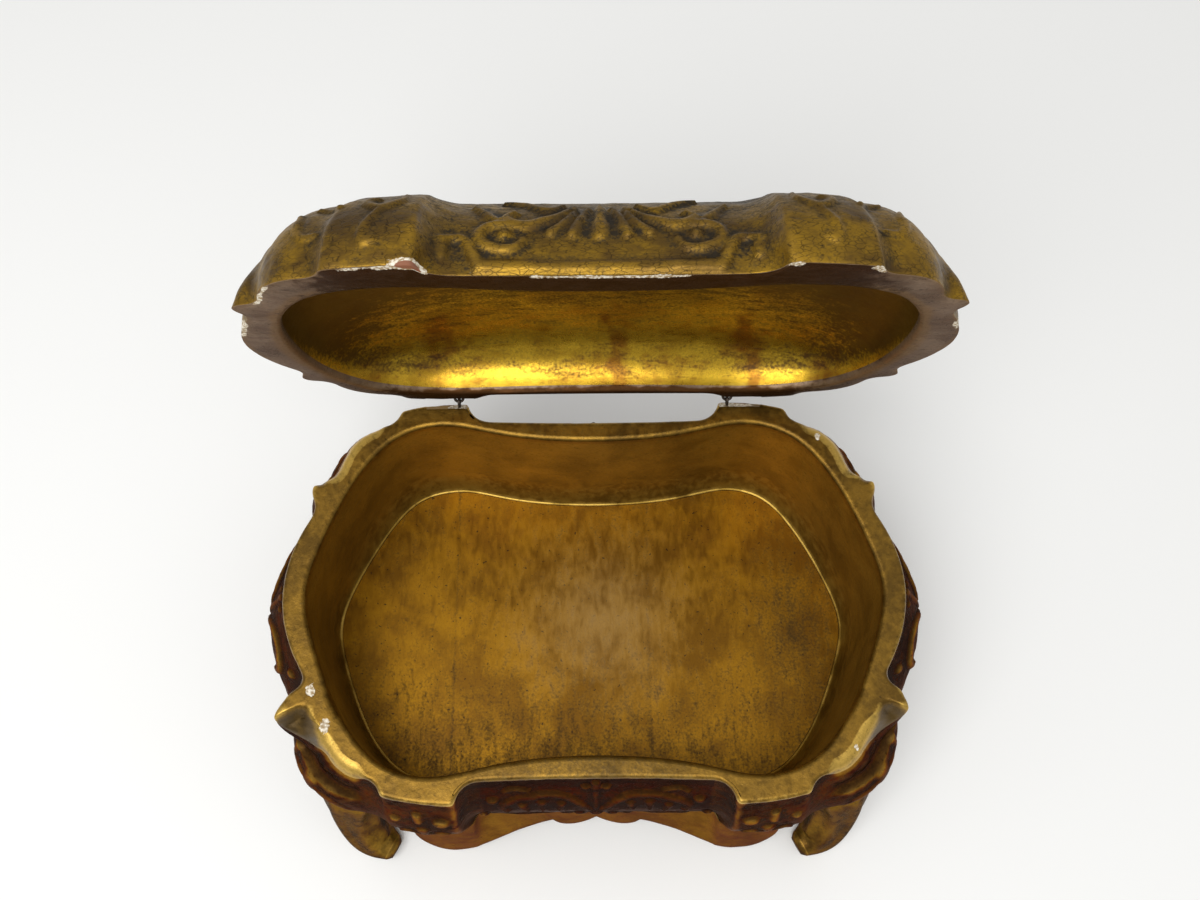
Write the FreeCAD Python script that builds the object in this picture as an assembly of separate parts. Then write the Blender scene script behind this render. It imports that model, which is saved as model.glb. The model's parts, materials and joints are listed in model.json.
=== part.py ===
import FreeCAD, Part

import math
import os

from FreeCAD import Vector

# A carved giltwood casket: serpentine bombé body of four mitred walls on scroll feet, scalloped aprons,
# and a hollowed dome lid on two linked wire eyes. Millimetres, +X right, +Y to the back, +Z up.
# The origin is on the table, under the middle of the open box.

# Driving sizes: the body
rim_half_length = 105.0
rim_half_width = 69.2
rim_height = 98.0
interior_depth = 60.0
board_thickness = 7.0
belly_swell = 10.0
end_rim_width = 7.7
side_rim_width = 9.0
rebate_width = 3.0
rebate_clearance = 0.2

# Driving sizes: the lid
lid_height = 36.0
lid_bowl_depth = 24.0
lid_end_rim_width = 13.0
lid_side_rim_width = 12.7
lid_end_inset = 48.0
lid_recess_depth = 2.0
lid_sideways = 2.5
lid_gap = 0.4
open_angle = 80.0

# Driving sizes: feet, dowels and aprons
foot_seat_height = 52.0
foot_width = 26.0
foot_depth = 20.0
toe_turn = 22.0
wall_behind_foot = 3.5
dowel_diameter = 6.0
dowel_in_wall = 12.0
dowel_in_foot = 13.0
dowel_offset = 4.0
dowel_clearance = 0.1
apron_thickness = 5.0
apron_drop = 23.0
apron_flare = 8.0

# Driving sizes: the wire eye hinges
wire_diameter = 1.0
eye_clearance = 0.12
eye_setback = 0.1
eye_neck_radius = 0.8
leg_gap = 0.04
leg_length = 12.0
leg_hole_clearance = 0.12
chamfer_length = 24.0
chamfer_clearance = 0.2
hinge_half_spacing = 48.0

# One overrun for all cuts
overrun = 5.0

# Points round a foot's section
oval_steps = 8

# Fullness of the dome and of the bowl: the power of their rounded profiles
dome_power = 2.2
bowl_power = 2.6

# One quarter of the carved outline, from the recess in the long side to the end. Each row is the
# middle and the last point of an arc, as shares of the half length and the half width.
recess_middle_share = 0.882
recess_share = (0.352, 0.892)
quarter_shares = [
    ((0.403, 0.922), (0.430, 1.000)),  # cove at the end of the recess
    ((0.543, 0.988), (0.653, 0.954)),  # projecting panel
    ((0.670, 0.902), (0.701, 0.873)),  # step beside the panel
    ((0.790, 0.815), (0.844, 0.686)),  # corner knee
    ((0.851, 0.616), (0.890, 0.587)),  # hollow before the horn
    ((0.960, 0.572), (0.943, 0.480)),  # horn
    ((0.914, 0.436), (0.920, 0.383)),  # notch behind the horn
]

# The same rows where the horn has died away
plain_shares = quarter_shares[:4] + [
    ((0.866, 0.637), (0.884, 0.588)),
    ((0.900, 0.537), (0.914, 0.485)),
    ((0.926, 0.435), (0.937, 0.383)),
]

# How far each of those points swells out at the belly, as shares of the swell
recess_middle_swell_share = 0.80
recess_swell_share = (0.15, 0.76)
quarter_swell_shares = [
    ((0.13, 0.72), (0.10, 0.68)),
    ((0.06, 0.72), (0.12, 0.74)),
    ((0.23, 0.86), (0.39, 0.86)),
    ((1.15, 0.66), (1.44, 0.30)),
    ((1.38, 0.24), (1.21, 0.14)),
    ((0.87, -0.10), (0.95, 0.03)),
    ((1.10, -0.02), (1.14, 0.00)),
]
end_swell_share = 1.1

# The back, which stands against a wall, swells less and has smaller horns
rear_swell_share = 0.7
rear_fading_share = 0.5

# Levels of the walls from the rim down: share of the wall's height, of the swell, and of the horn's fading
wall_level_shares = [
    (0.00, 0.00, 0.0),
    (0.10, 0.16, 0.1),
    (0.25, 0.62, 0.4),
    (0.43, 1.00, 0.8),
    (0.70, 0.86, 1.0),
    (1.00, 0.45, 1.0),
]

# Levels of the lid from its rim up: share of the lid's height, and of the horn's fading
lid_level_shares = [(0.00, 0.45), (0.16, 0.65), (0.40, 1.0), (0.65, 1.0), (0.85, 1.0), (0.985, 1.0)]
lid_recess_level_share = 0.3

# Inside of the body, one quarter from the middle of the long side to the end
inner_quarter_shares = [
    (0.000, 0.897),
    (0.310, 0.934),
    (0.530, 1.000),
    (0.700, 0.938),
    (0.812, 0.772),
    (0.899, 0.532),
    (0.971, 0.233),
    (1.000, 0.000),
]
inner_corner_share = (0.812, 0.772)

# Bowl of the lid, one quarter, and the levels of its depth
bowl_quarter_shares = [
    (0.000, 0.955),
    (0.270, 0.968),
    (0.510, 1.000),
    (0.685, 0.965),
    (0.815, 0.867),
    (0.902, 0.708),
    (0.973, 0.425),
    (1.000, 0.000),
]
bowl_level_shares = [0.0, 0.3, 0.6, 0.82, 0.96]

# The foot's sections from its head to its toe: share of the depth outwards, of the toe's turn, of the
# seat's height, of the width and of the depth
foot_section_shares = [
    (-0.47, 0.00, 0.94, 0.96, 0.72),
    (-0.32, 0.00, 0.77, 0.94, 0.98),
    (-0.06, 0.18, 0.46, 0.76, 0.90),
    (0.10, 0.58, 0.15, 0.60, 0.80),
    (0.02, 1.00, 0.075, 0.38, 0.50),
]

# Lower edge of an apron from its middle to its end: shares of its half length and of its drop, as arcs
long_scallop_shares = [
    (0.00, 0.54),
    (0.14, 0.82),
    (0.24, 0.62),
    (0.78, 0.99),
    (1.00, 0.62),
]
short_scallop_shares = [(0.00, 0.45), (0.40, 0.90), (1.00, 0.40)]

# The long apron's face at its lower edge: a smooth serpentine, as shares like the carved outline's
apron_middle_share = 0.885
apron_serpentine_shares = [
    (0.260, 0.915),
    (0.352, 0.955),
    (0.430, 0.985),
    (0.543, 0.995),
    (0.653, 0.960),
]

# Sizes that follow
wall_height = interior_depth + board_thickness
base_height = rim_height - wall_height
floor_height = rim_height - interior_depth
inner_half_length = rim_half_length - end_rim_width
inner_half_width = rim_half_width - side_rim_width
bowl_half_length = rim_half_length - lid_end_rim_width
bowl_half_width = rim_half_width - lid_side_rim_width
lid_bottom = rim_height + lid_gap
wire_radius = wire_diameter / 2
leg_offset = wire_radius + leg_gap / 2
lid_eye_radius = 3 * wire_radius
lid_eye_sagitta = lid_eye_radius - math.sqrt(lid_eye_radius**2 - (wire_radius + eye_clearance) ** 2)
body_eye_radius = 2 * wire_radius + lid_eye_sagitta + eye_clearance
chamfer_distance = body_eye_radius + wire_radius + chamfer_clearance
hinge_axis_y = rim_half_width + eye_setback
hinge_axis_z = rim_height + lid_gap / 2
quarter_turn = 90
pin_slope = math.radians(quarter_turn - open_angle / 2)
diagonal = Vector(1, 1, 0).normalize()
crosswise = Vector(1, -1, 0).normalize()
up = Vector(0, 0, 1)


def arc(first, middle, last):
    """Edge of the arc through three points."""
    return Part.Arc(first, middle, last).toShape()


def side_swell(swell, y_sign):
    """A point's swell on the front, or its smaller swell on the back."""
    side_share = rear_swell_share if y_sign > 0 else 1
    return (swell[0] * side_share, swell[1] * side_share)


def carved_outline(place, fading):
    """Closed wire of the carved plan; place turns shares into a point, and fading removes the horns."""

    def at(share, swell, x_sign, y_sign):
        point = place(share, side_swell(swell, y_sign))
        return Vector(x_sign * point.x, y_sign * point.y, point.z)

    def quarter(x_sign, y_sign):
        faded = max(fading, rear_fading_share) if y_sign > 0 else fading
        points = [at(recess_share, recess_swell_share, x_sign, y_sign)]
        for carved, plain, swells in zip(quarter_shares, plain_shares, quarter_swell_shares):
            for carved_share, plain_share, swell in zip(carved, plain, swells):
                x_share = carved_share[0] + faded * (plain_share[0] - carved_share[0])
                y_share = carved_share[1] + faded * (plain_share[1] - carved_share[1])
                points.append(at((x_share, y_share), swell, x_sign, y_sign))
        return points

    rear = at((0, recess_middle_share), (0, recess_middle_swell_share), 1, 1)
    front = at((0, recess_middle_share), (0, recess_middle_swell_share), 1, -1)
    end = place((1, 0), (end_swell_share, 0))
    left = Vector(-end.x, 0, end.z)
    front_right = quarter(1, -1)
    rear_right = quarter(1, 1)[::-1]
    rear_left = quarter(-1, 1)
    front_left = quarter(-1, -1)[::-1]
    ring = front_right + [end] + rear_right + [rear] + rear_left + [left] + front_left + [front]
    ring.append(front_right[0])
    return Part.Wire([arc(*ring[i : i + 3]) for i in range(0, len(ring) - 1, 2)])


def wall_place(height_share, swell_share):
    """How a point's shares become its place on the body at one level below the rim."""
    z = rim_height - height_share * wall_height

    def place(share, swell):
        x = share[0] * rim_half_length + swell[0] * swell_share * belly_swell
        y = share[1] * rim_half_width + swell[1] * swell_share * belly_swell
        return Vector(x, y, z)

    return place


def wall_outline(height_share, swell_share, fading):
    """Outline of the body at one level below the rim."""
    return carved_outline(wall_place(height_share, swell_share), fading)


def lid_outline(height_share, fading):
    """Outline of the closed lid at one level: the long sides close in like a dome, the ends by less."""
    z = lid_bottom + height_share * lid_height
    closing = (1 - height_share**dome_power) ** (1 / dome_power)
    ridge_share = quarter_shares[0][1][0]
    end_x = rim_half_length - lid_end_inset * (1 - closing)
    ridge_x = ridge_share * rim_half_length
    recess = lid_recess_depth * min(height_share / lid_recess_level_share, 1)

    def place(share, swell):
        x = share[0] * rim_half_length
        y = share[1] * rim_half_width
        if share[0] > ridge_share:
            x = ridge_x + (share[0] - ridge_share) / (1 - ridge_share) * (end_x - ridge_x)
        elif share[0] <= recess_share[0]:
            y -= recess
        return Vector(x, y * closing, z)

    return carved_outline(place, fading)


def closed_curve(points):
    """Smooth closed wire through points at an even speed, which starts along the chord of its neighbours."""
    lengths = [(after - before).Length for before, after in zip(points, points[1:] + points[:1])]
    run = [sum(lengths[:i]) for i in range(len(lengths) + 1)]
    start = (points[1] - points[-1]).normalize()
    held = [True] + [False] * (len(points) - 1)
    curve = Part.BSplineCurve()
    tangents = [start] * len(points)
    curve.interpolate(
        Points=points, PeriodicFlag=True, Parameters=run, Tangents=tangents, TangentFlags=held, Scale=False
    )
    return Part.Wire([curve.toShape()])


def oval(quarter, half_length, half_width, z, grow):
    """Smooth closed wire through a quarter's points and their mirror images, grown outwards by a distance."""
    points = []
    for x_share, y_share in quarter:
        outwards = Vector(x_share * half_width, y_share * half_length, 0).normalize()
        points.append(Vector(x_share * half_length, y_share * half_width, z) + outwards * grow)
    rear_right = points
    front_right = [Vector(p.x, -p.y, p.z) for p in points[-2::-1]]
    front_left = [Vector(-p.x, -p.y, p.z) for p in points[1:]]
    rear_left = [Vector(-p.x, p.y, p.z) for p in points[-2:0:-1]]
    return closed_curve(rear_right + front_right + front_left + rear_left)


def prism(wire, height):
    """Upright solid on a flat wire."""
    return Part.Face(wire).extrude(up * height)


def inner_prism(low, high, grow):
    """Solid of the body's inside between two heights, grown outwards by a distance."""
    wire = oval(inner_quarter_shares, inner_half_length, inner_half_width, low, grow)
    return prism(wire, high - low)


def upright_box(centre, out_direction, inwards, outwards, half_width, low, high):
    """Upright block, measured from a point along a level direction and across it."""
    across = up.cross(out_direction)
    corners = []
    for reach, side in ((-inwards, -1), (outwards, -1), (outwards, 1), (-inwards, 1)):
        point = centre + out_direction * reach + across * (side * half_width)
        corners.append(Vector(point.x, point.y, low))
    return prism(Part.makePolygon(corners + corners[:1]), high - low)


def mirrored(shape, x_sign, y_sign):
    """The shape in another quarter of the plan."""
    if x_sign < 0:
        shape = shape.mirror(Vector(), Vector(1, 0, 0))
    if y_sign < 0:
        shape = shape.mirror(Vector(), Vector(0, 1, 0))
    return shape


inner_corner = Vector(inner_corner_share[0] * inner_half_length, inner_corner_share[1] * inner_half_width, 0)
pocket_back = inner_corner.dot(diagonal) + rebate_width + wall_behind_foot
quarters = {
    "rear_right": (1, 1),
    "rear_left": (-1, 1),
    "front_right": (1, -1),
    "front_left": (-1, -1),
}


def knee_at(y_sign):
    """The belly's corner at the back or at the front, both given in the quarter of +X and +Y."""
    share = quarter_shares[3][0]
    swell = side_swell(quarter_swell_shares[3][0], y_sign)
    x = share[0] * rim_half_length + swell[0] * belly_swell
    y = share[1] * rim_half_width + swell[1] * belly_swell
    return Vector(x, y, 0)


def pocket_block(knee, low):
    """Upright block of a foot's pocket in its corner, from a height up to the foot's seat."""
    inwards = knee.dot(diagonal) - pocket_back
    return upright_box(knee, diagonal, inwards, foot_depth, foot_width / 2, low, foot_seat_height)


def dowel_pin(knee, clearance):
    """The dowel between a foot and its corner, grown all round by a clearance."""
    place = knee + diagonal * ((pocket_back - knee.dot(diagonal)) / 2) + crosswise * dowel_offset
    low = place + up * (foot_seat_height - dowel_in_foot - clearance)
    length = dowel_in_wall + dowel_in_foot + 2 * clearance
    return Part.makeCylinder(dowel_diameter / 2 + clearance, length, low, up)


def hinge_frame(x, into_lid):
    """Placement of an eye pin on the closed box: its own +X runs along the hinge axis, +Z out of the wood."""
    slope = math.degrees(pin_slope)
    turn = -quarter_turn - slope if into_lid else slope - quarter_turn
    return FreeCAD.Placement(Vector(x, hinge_axis_y, hinge_axis_z), FreeCAD.Rotation(Vector(1, 0, 0), turn))


def eye_pin(ring_radius, ring_height):
    """Split pin of round wire: a ring round the local X axis at a height, on two legs that run down."""
    neck_y = leg_offset + eye_neck_radius
    neck_z = -math.sqrt((ring_radius + eye_neck_radius) ** 2 - neck_y**2)
    share = ring_radius / (ring_radius + eye_neck_radius)
    meet_y = neck_y * share
    meet_z = neck_z * share
    middle = Vector(0, (leg_offset + meet_y) / 2 - neck_y, (neck_z + meet_z) / 2 - neck_z).normalize()
    lift = Vector(0, 0, ring_height)
    foot = Vector(0, leg_offset, -leg_length)
    neck = Vector(0, leg_offset, neck_z) + lift
    bend = Vector(0, neck_y, neck_z) + middle * eye_neck_radius + lift
    meet = Vector(0, meet_y, meet_z) + lift
    top = Vector(0, 0, ring_radius) + lift

    def other(point):
        return Vector(0, -point.y, point.z)

    path = Part.Wire(
        [
            Part.makeLine(foot, neck),
            arc(neck, bend, meet),
            arc(meet, top, other(meet)),
            arc(other(meet), other(bend), other(neck)),
            Part.makeLine(other(neck), other(foot)),
        ]
    )
    section = Part.Wire([Part.makeCircle(wire_radius, foot, up)])
    return path.makePipeShell([section], True, True)


def pin_hole(ring_reach):
    """Bored hole for a pin's legs, with a wider mouth down to its ring's reach, and the arris's chamfer."""
    radius = leg_offset + wire_radius + leg_hole_clearance
    hole = Part.makeCylinder(radius, leg_length + overrun, Vector(0, 0, -leg_length - leg_hole_clearance), up)
    mouth_radius = lid_eye_radius + wire_radius + chamfer_clearance
    mouth = Part.makeCylinder(mouth_radius, ring_reach + overrun, Vector(0, 0, -ring_reach), up)
    corner = Vector(-chamfer_length / 2, -overrun, -chamfer_distance)
    chamfer = Part.makeBox(chamfer_length, 2 * overrun, 2 * overrun, corner)
    return hole.fuse([mouth, chamfer])


# Body: four walls cut from one bombé ring at the mitres
body_outside = Part.makeLoft([wall_outline(*row) for row in wall_level_shares], True, False)
cavity = inner_prism(base_height - overrun, rim_height + overrun, 0)
rebate = inner_prism(base_height - overrun, floor_height, rebate_width)
ring = body_outside.cut(cavity.fuse(rebate))

cutters = []
for signs in quarters.values():
    knee = knee_at(signs[1])
    cutters.append(mirrored(pocket_block(knee, base_height - overrun), *signs))
    cutters.append(mirrored(dowel_pin(knee, dowel_clearance), *signs))
hinge_places = {"left": -hinge_half_spacing, "right": hinge_half_spacing}
for x in hinge_places.values():
    body_hole = pin_hole(chamfer_distance)
    body_hole.Placement = hinge_frame(x, False)
    cutters.append(body_hole)
ring = ring.cut(cutters)

mitre_apex = inner_corner.x - inner_corner.y
mitre_reach = rim_half_length + rim_half_width + belly_swell


def wall_between(direction):
    """Part of the ring between the two mitres on one side; direction is +X, -X, +Y or -Y."""
    across = up.cross(direction)
    low = up * (base_height - overrun)
    apex = direction * mitre_apex if direction.x else Vector()
    inner_half = 0 if direction.x else mitre_apex
    reach = direction * mitre_reach
    outer_half = mitre_reach - mitre_apex if direction.x else mitre_reach + mitre_apex
    corners = [apex + across * inner_half, reach + across * outer_half]
    corners += [reach - across * outer_half, apex - across * inner_half]
    if direction.x:
        corners.pop()
    corners = [point + low for point in corners]
    wedge = prism(Part.makePolygon(corners + corners[:1]), wall_height + 2 * overrun)
    return ring.common(wedge)


parts = {
    "front_wall": wall_between(Vector(0, -1, 0)),
    "rear_wall": wall_between(Vector(0, 1, 0)),
    "left_wall": wall_between(Vector(-1, 0, 0)),
    "right_wall": wall_between(Vector(1, 0, 0)),
    "bottom_board": inner_prism(base_height, floor_height, rebate_width - rebate_clearance),
}


def foot_section(knee, index):
    """Oval of the foot's skin at one row of its table, square to the line through its neighbours."""
    centres = []
    for out_share, turn_share, height_share, width_share, depth_share in foot_section_shares:
        centre = knee + diagonal * (out_share * foot_depth) - crosswise * (turn_share * toe_turn)
        centres.append(centre + up * (height_share * foot_seat_height))
    before = centres[max(index - 1, 0)]
    after = centres[min(index + 1, len(centres) - 1)]
    along = (after - before).normalize()
    across = along.cross(diagonal).normalize()
    outwards = across.cross(along)
    half_width = foot_section_shares[index][3] * foot_width / 2
    half_depth = foot_section_shares[index][4] * foot_depth / 2
    points = []
    for step in range(oval_steps):
        angle = 2 * math.pi * step / oval_steps
        reach = across * (half_width * math.cos(angle)) + outwards * (half_depth * math.sin(angle))
        points.append(centres[index] + reach)
    return closed_curve(points)


def foot(signs):
    """Foot of one corner: a head that fills its pocket flush with the belly, and a scroll down to the toe."""
    knee = knee_at(signs[1])
    head = mirrored(pocket_block(knee, base_height), *signs).common(body_outside)
    scroll = Part.makeLoft([foot_section(knee, i) for i in range(len(foot_section_shares))], True, False)
    table = upright_box(knee, diagonal, 2 * foot_depth, 2 * foot_depth, 2 * foot_width, -foot_depth, 0)
    seat_back = knee + diagonal * (pocket_back - knee.dot(diagonal))
    corner_wood = upright_box(seat_back, diagonal, foot_depth, 0, foot_width, base_height, rim_height)
    whole = head.fuse(mirrored(scroll.cut([table, corner_wood]), *signs))
    return whole.cut(mirrored(dowel_pin(knee, dowel_clearance), *signs))


for quarter, signs in quarters.items():
    parts[quarter + "_foot"] = foot(signs)
dowels = [mirrored(dowel_pin(knee_at(signs[1]), 0), *signs) for signs in quarters.values()]
parts["foot_dowels"] = Part.makeCompound(dowels)


def arcs_through(points):
    """Edges of the arcs through every other point of a list, by way of the points between."""
    return [arc(*points[i : i + 3]) for i in range(0, len(points) - 1, 2)]


def apron(upper_points, lower_points, outwards, scallop):
    """Thin flared board under one side, from the wall's foot to its lower line, cut below in scallops."""
    along = up.cross(outwards)
    thickness = outwards * apron_thickness

    def section(outer):
        inner = [point - thickness for point in outer[::-1]]
        edges = arcs_through(outer) + [Part.makeLine(outer[-1], inner[0])]
        edges += arcs_through(inner) + [Part.makeLine(inner[-1], outer[0])]
        return Part.Wire(edges)

    flare = outwards * apron_flare - up * apron_drop
    flared_points = [point + flare for point in lower_points]
    board = Part.makeLoft([section(upper_points), section(flared_points)], True, True)
    half_length = abs(upper_points[0].dot(along))
    start = up * base_height - outwards * overrun
    turned_scallop = [(-x, drop) for x, drop in scallop[:0:-1]]
    edge = []
    for x, drop in turned_scallop + scallop:
        edge.append(start + along * (x * half_length) - up * (drop * apron_drop))
    low = up * (base_height - apron_drop - overrun)
    sides = [edge[-1] + along * overrun, edge[0] - along * overrun]
    lower = [Vector(point.x, point.y, low.z) for point in sides]
    rest = Part.makePolygon([edge[-1], sides[0], lower[0], lower[1], sides[1], edge[0]])
    below = Part.Face(Part.Wire(arcs_through(edge) + rest.Edges))
    reach = rim_half_length + rim_half_width
    return board.cut(below.extrude(outwards * reach))


base_place = wall_place(wall_level_shares[-1][0], wall_level_shares[-1][1])


def long_apron(y_sign):
    """Apron of the back or the front: from the carved foot of the wall down to a smooth serpentine."""

    def at(share, swell):
        return base_place(share, side_swell(swell, y_sign))

    middle_swell = (0, recess_middle_swell_share)
    upper = [at((0, recess_middle_share), middle_swell), at(recess_share, recess_swell_share)]
    for carved, swells in list(zip(plain_shares, quarter_swell_shares))[:2]:
        upper += [at(*pair) for pair in zip(carved, swells)]
    lower = [at((0, apron_middle_share), middle_swell)]
    lower += [at(share, recess_swell_share) for share in apron_serpentine_shares]
    lines = [[Vector(-p.x, p.y, p.z) for p in line[:0:-1]] + line for line in (upper, lower)]
    return mirrored(apron(*lines, Vector(0, 1, 0), long_scallop_shares), 1, y_sign)


def short_apron(x_sign):
    """Apron of one end: the wall's foot carried straight down its flare."""
    line = [base_place((1, 0), (end_swell_share, 0))]
    for row, column in ((6, 1), (6, 0), (5, 1)):
        line.append(base_place(plain_shares[row][column], quarter_swell_shares[row][column]))
    front = [Vector(p.x, -p.y, p.z) for p in line[:0:-1]]
    rear = [base_place((1, 0), (end_swell_share, 0))]
    for row, column in ((6, 1), (6, 0), (5, 1)):
        rear.append(base_place(plain_shares[row][column], side_swell(quarter_swell_shares[row][column], 1)))
    points = front + rear
    return mirrored(apron(points, points, Vector(1, 0, 0), short_scallop_shares), x_sign, 1)


parts["front_apron"] = long_apron(-1)
parts["rear_apron"] = long_apron(1)
parts["left_apron"] = short_apron(-1)
parts["right_apron"] = short_apron(1)


def bowl_section(depth_share):
    """Outline of the lid's bowl at one share of its depth."""
    closing = (1 - depth_share**bowl_power) ** (1 / bowl_power)
    z = lid_bottom + depth_share * lid_bowl_depth
    return oval(bowl_quarter_shares, bowl_half_length * closing, bowl_half_width * closing, z, 0)


def closed_lid():
    """The lid's block before it is opened: dome outside, bowl inside, bored for the eye pins."""
    dome = Part.makeLoft([lid_outline(*row) for row in lid_level_shares], True, False)
    bowl = Part.makeLoft([bowl_section(share) for share in bowl_level_shares], True, False)
    holes = []
    for x in hinge_places.values():
        hole = pin_hole(2 * lid_eye_radius + wire_radius + chamfer_clearance)
        hole.Placement = hinge_frame(x, True)
        holes.append(hole)
    block = dome.cut(bowl)
    block.translate(Vector(lid_sideways, 0, 0))
    return block.cut(holes)


lid_pieces = {"lid": closed_lid()}
for side, x in hinge_places.items():
    body_eye = eye_pin(body_eye_radius, 0)
    body_eye.Placement = hinge_frame(x, False)
    parts["body_eye_" + side] = body_eye
    lid_eye = eye_pin(lid_eye_radius, -lid_eye_radius)
    lid_eye.rotate(Vector(), up, quarter_turn)
    lid_eye.Placement = hinge_frame(x, True).multiply(lid_eye.Placement)
    lid_pieces["lid_eye_" + side] = lid_eye
for name, shape in lid_pieces.items():
    shape.rotate(Vector(0, hinge_axis_y, hinge_axis_z), Vector(1, 0, 0), -open_angle)
    parts[name] = shape

# The origin is moved under the middle of the open box
box = Part.makeCompound(list(parts.values())).optimalBoundingBox(False, False)
centring = Vector(0, -(box.YMin + box.YMax) / 2, 0)
os.makedirs("parts", exist_ok=True)
for name, shape in parts.items():
    shape.translate(centring)
    shape.exportStep("parts/" + name + ".step")
    print(name, shape.isValid(), len(shape.Solids), round(shape.Volume, 1))
print("hinge axis y", round(hinge_axis_y + centring.y, 3), "z", round(hinge_axis_z, 3))
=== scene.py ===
# %% [markdown]
# # A carved giltwood casket
# The real box is carved wood covered with white gesso, red bole and gold leaf, then toned brown.
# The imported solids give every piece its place. Each piece is rebuilt here as a fine numpy surface, so that
# scrolls, worn arrises and chips are real geometry, and the gilding only has to colour them.

# %% Load the frame
import json
import math

import bpy
import numpy as np
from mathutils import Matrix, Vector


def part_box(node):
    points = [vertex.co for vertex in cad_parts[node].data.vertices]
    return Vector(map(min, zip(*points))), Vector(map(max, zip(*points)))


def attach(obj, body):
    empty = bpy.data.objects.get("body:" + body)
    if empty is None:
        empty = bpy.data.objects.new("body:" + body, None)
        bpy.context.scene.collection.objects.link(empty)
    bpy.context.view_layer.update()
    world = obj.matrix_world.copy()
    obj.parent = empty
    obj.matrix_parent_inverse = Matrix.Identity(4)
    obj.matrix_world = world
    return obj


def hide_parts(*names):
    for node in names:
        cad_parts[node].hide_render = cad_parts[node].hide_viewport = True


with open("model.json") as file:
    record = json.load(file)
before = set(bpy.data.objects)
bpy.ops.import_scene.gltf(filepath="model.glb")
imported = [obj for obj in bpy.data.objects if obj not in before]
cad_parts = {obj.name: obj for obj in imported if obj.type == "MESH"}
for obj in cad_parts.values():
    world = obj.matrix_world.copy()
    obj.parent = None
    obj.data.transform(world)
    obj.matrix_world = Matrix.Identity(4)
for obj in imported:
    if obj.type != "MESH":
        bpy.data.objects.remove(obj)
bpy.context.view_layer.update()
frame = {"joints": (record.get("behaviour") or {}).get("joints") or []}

MM = 0.001
hinge = frame["joints"][0]
hinge_y = hinge["pos_m"][1] / MM
hinge_z = hinge["pos_m"][2] / MM
opening = math.radians(hinge["range_deg"][1])
print("hinge at", round(hinge_y, 2), round(hinge_z, 2), "opens", hinge["range_deg"][1])

# %% [markdown]
# ## Sizes
# The carved plan is written as shares of two half sizes, as a carver's template would be. The heights come
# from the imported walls, and the plan's middle lies in front of the hinge line by half the body's width.

# %% Sizes in millimetres
rim_half_length = 105.0
rim_half_width = 69.2
eye_setback = 0.1
belly_swell = 10.0
end_rim_width = 7.7
side_rim_width = 9.0
inner_half_length = rim_half_length - end_rim_width
inner_half_width = rim_half_width - side_rim_width
lid_height = 36.0
lid_gap = 0.4
lid_bowl_depth = 24.0
lid_end_rim_width = 13.0
lid_side_rim_width = 12.7
lid_end_inset = 48.0
lid_recess_depth = 2.0
lid_sideways = 2.5
rim_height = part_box("front_wall")[1].z / MM
base_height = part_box("front_wall")[0].z / MM
floor_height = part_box("bottom_board")[1].z / MM
wall_height = rim_height - base_height
middle_y = hinge_y - rim_half_width - eye_setback
lid_bottom = rim_height + lid_gap
print("rim", round(rim_height, 2), "base", round(base_height, 2), "floor", round(floor_height, 2))

# %% [markdown]
# ## Helpers for surfaces
# A surface is an array of points in rows and columns. Blurring along a closed outline softens its arrises
# the way gesso does, a natural spline carries outlines from level to level, and one builder turns arrays
# into a mesh.

# %% Array helpers
def blur(values, sigma, axis, closed):
    """Gaussian mean of neighbours along one axis; a closed axis wraps round, an open one repeats its ends."""
    reach = max(1, int(3 * sigma))
    steps = np.arange(-reach, reach + 1)
    weights = np.exp(-0.5 * (steps / sigma) ** 2)
    weights /= weights.sum()
    moved = np.moveaxis(values, axis, 0)
    padded = np.concatenate([moved[-reach:], moved, moved[:reach]]) if closed else np.concatenate(
        [np.repeat(moved[:1], reach, 0), moved, np.repeat(moved[-1:], reach, 0)]
    )
    total = sum(w * padded[i : i + len(moved)] for i, w in enumerate(weights))
    return np.moveaxis(total, 0, axis)


def spline(knots, values, at):
    """Natural cubic spline: the curve through values at the knots with no bending at its two ends."""
    knots, values, at = np.asarray(knots, float), np.asarray(values, float), np.asarray(at, float)
    n, step = len(knots), np.diff(knots)
    flat = values.reshape(n, -1)
    system, right = np.eye(n), np.zeros_like(flat)
    for i in range(1, n - 1):
        system[i, i - 1 : i + 2] = step[i - 1], 2 * (step[i - 1] + step[i]), step[i]
        right[i] = 6 * ((flat[i + 1] - flat[i]) / step[i] - (flat[i] - flat[i - 1]) / step[i - 1])
    bend = np.linalg.solve(system, right)
    i = np.clip(np.searchsorted(knots, at) - 1, 0, n - 2)
    h, a, b = step[i], knots[i + 1] - at, at - knots[i]
    h, a, b = h[:, None], a[:, None], b[:, None]
    line = (a * flat[i] + b * flat[i + 1]) / h
    curve = (a**3 / h - a * h) * bend[i] + (b**3 / h - b * h) * bend[i + 1]
    return (line + curve / 6).reshape((len(at),) + values.shape[1:])


def noise(points, size):
    """Smooth noise between -1 and 1 with bumps of a size: hashed corner values of a grid, eased between."""
    p = points / size
    cell = np.floor(p).astype(np.int64)
    f = p - cell
    f = f * f * (3 - 2 * f)
    total = np.zeros(points.shape[:-1])
    for corner in np.ndindex(2, 2, 2):
        c = cell + np.array(corner)
        key = c[..., 0] * 73856093 ^ c[..., 1] * 19349663 ^ c[..., 2] * 83492791
        key = (key ^ (key >> 13)) * 1274126177
        value = ((key ^ (key >> 16)) & 65535) / 32767.5 - 1
        total += value * np.prod(np.where(np.array(corner) == 1, f, 1 - f), axis=-1)
    return total


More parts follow.
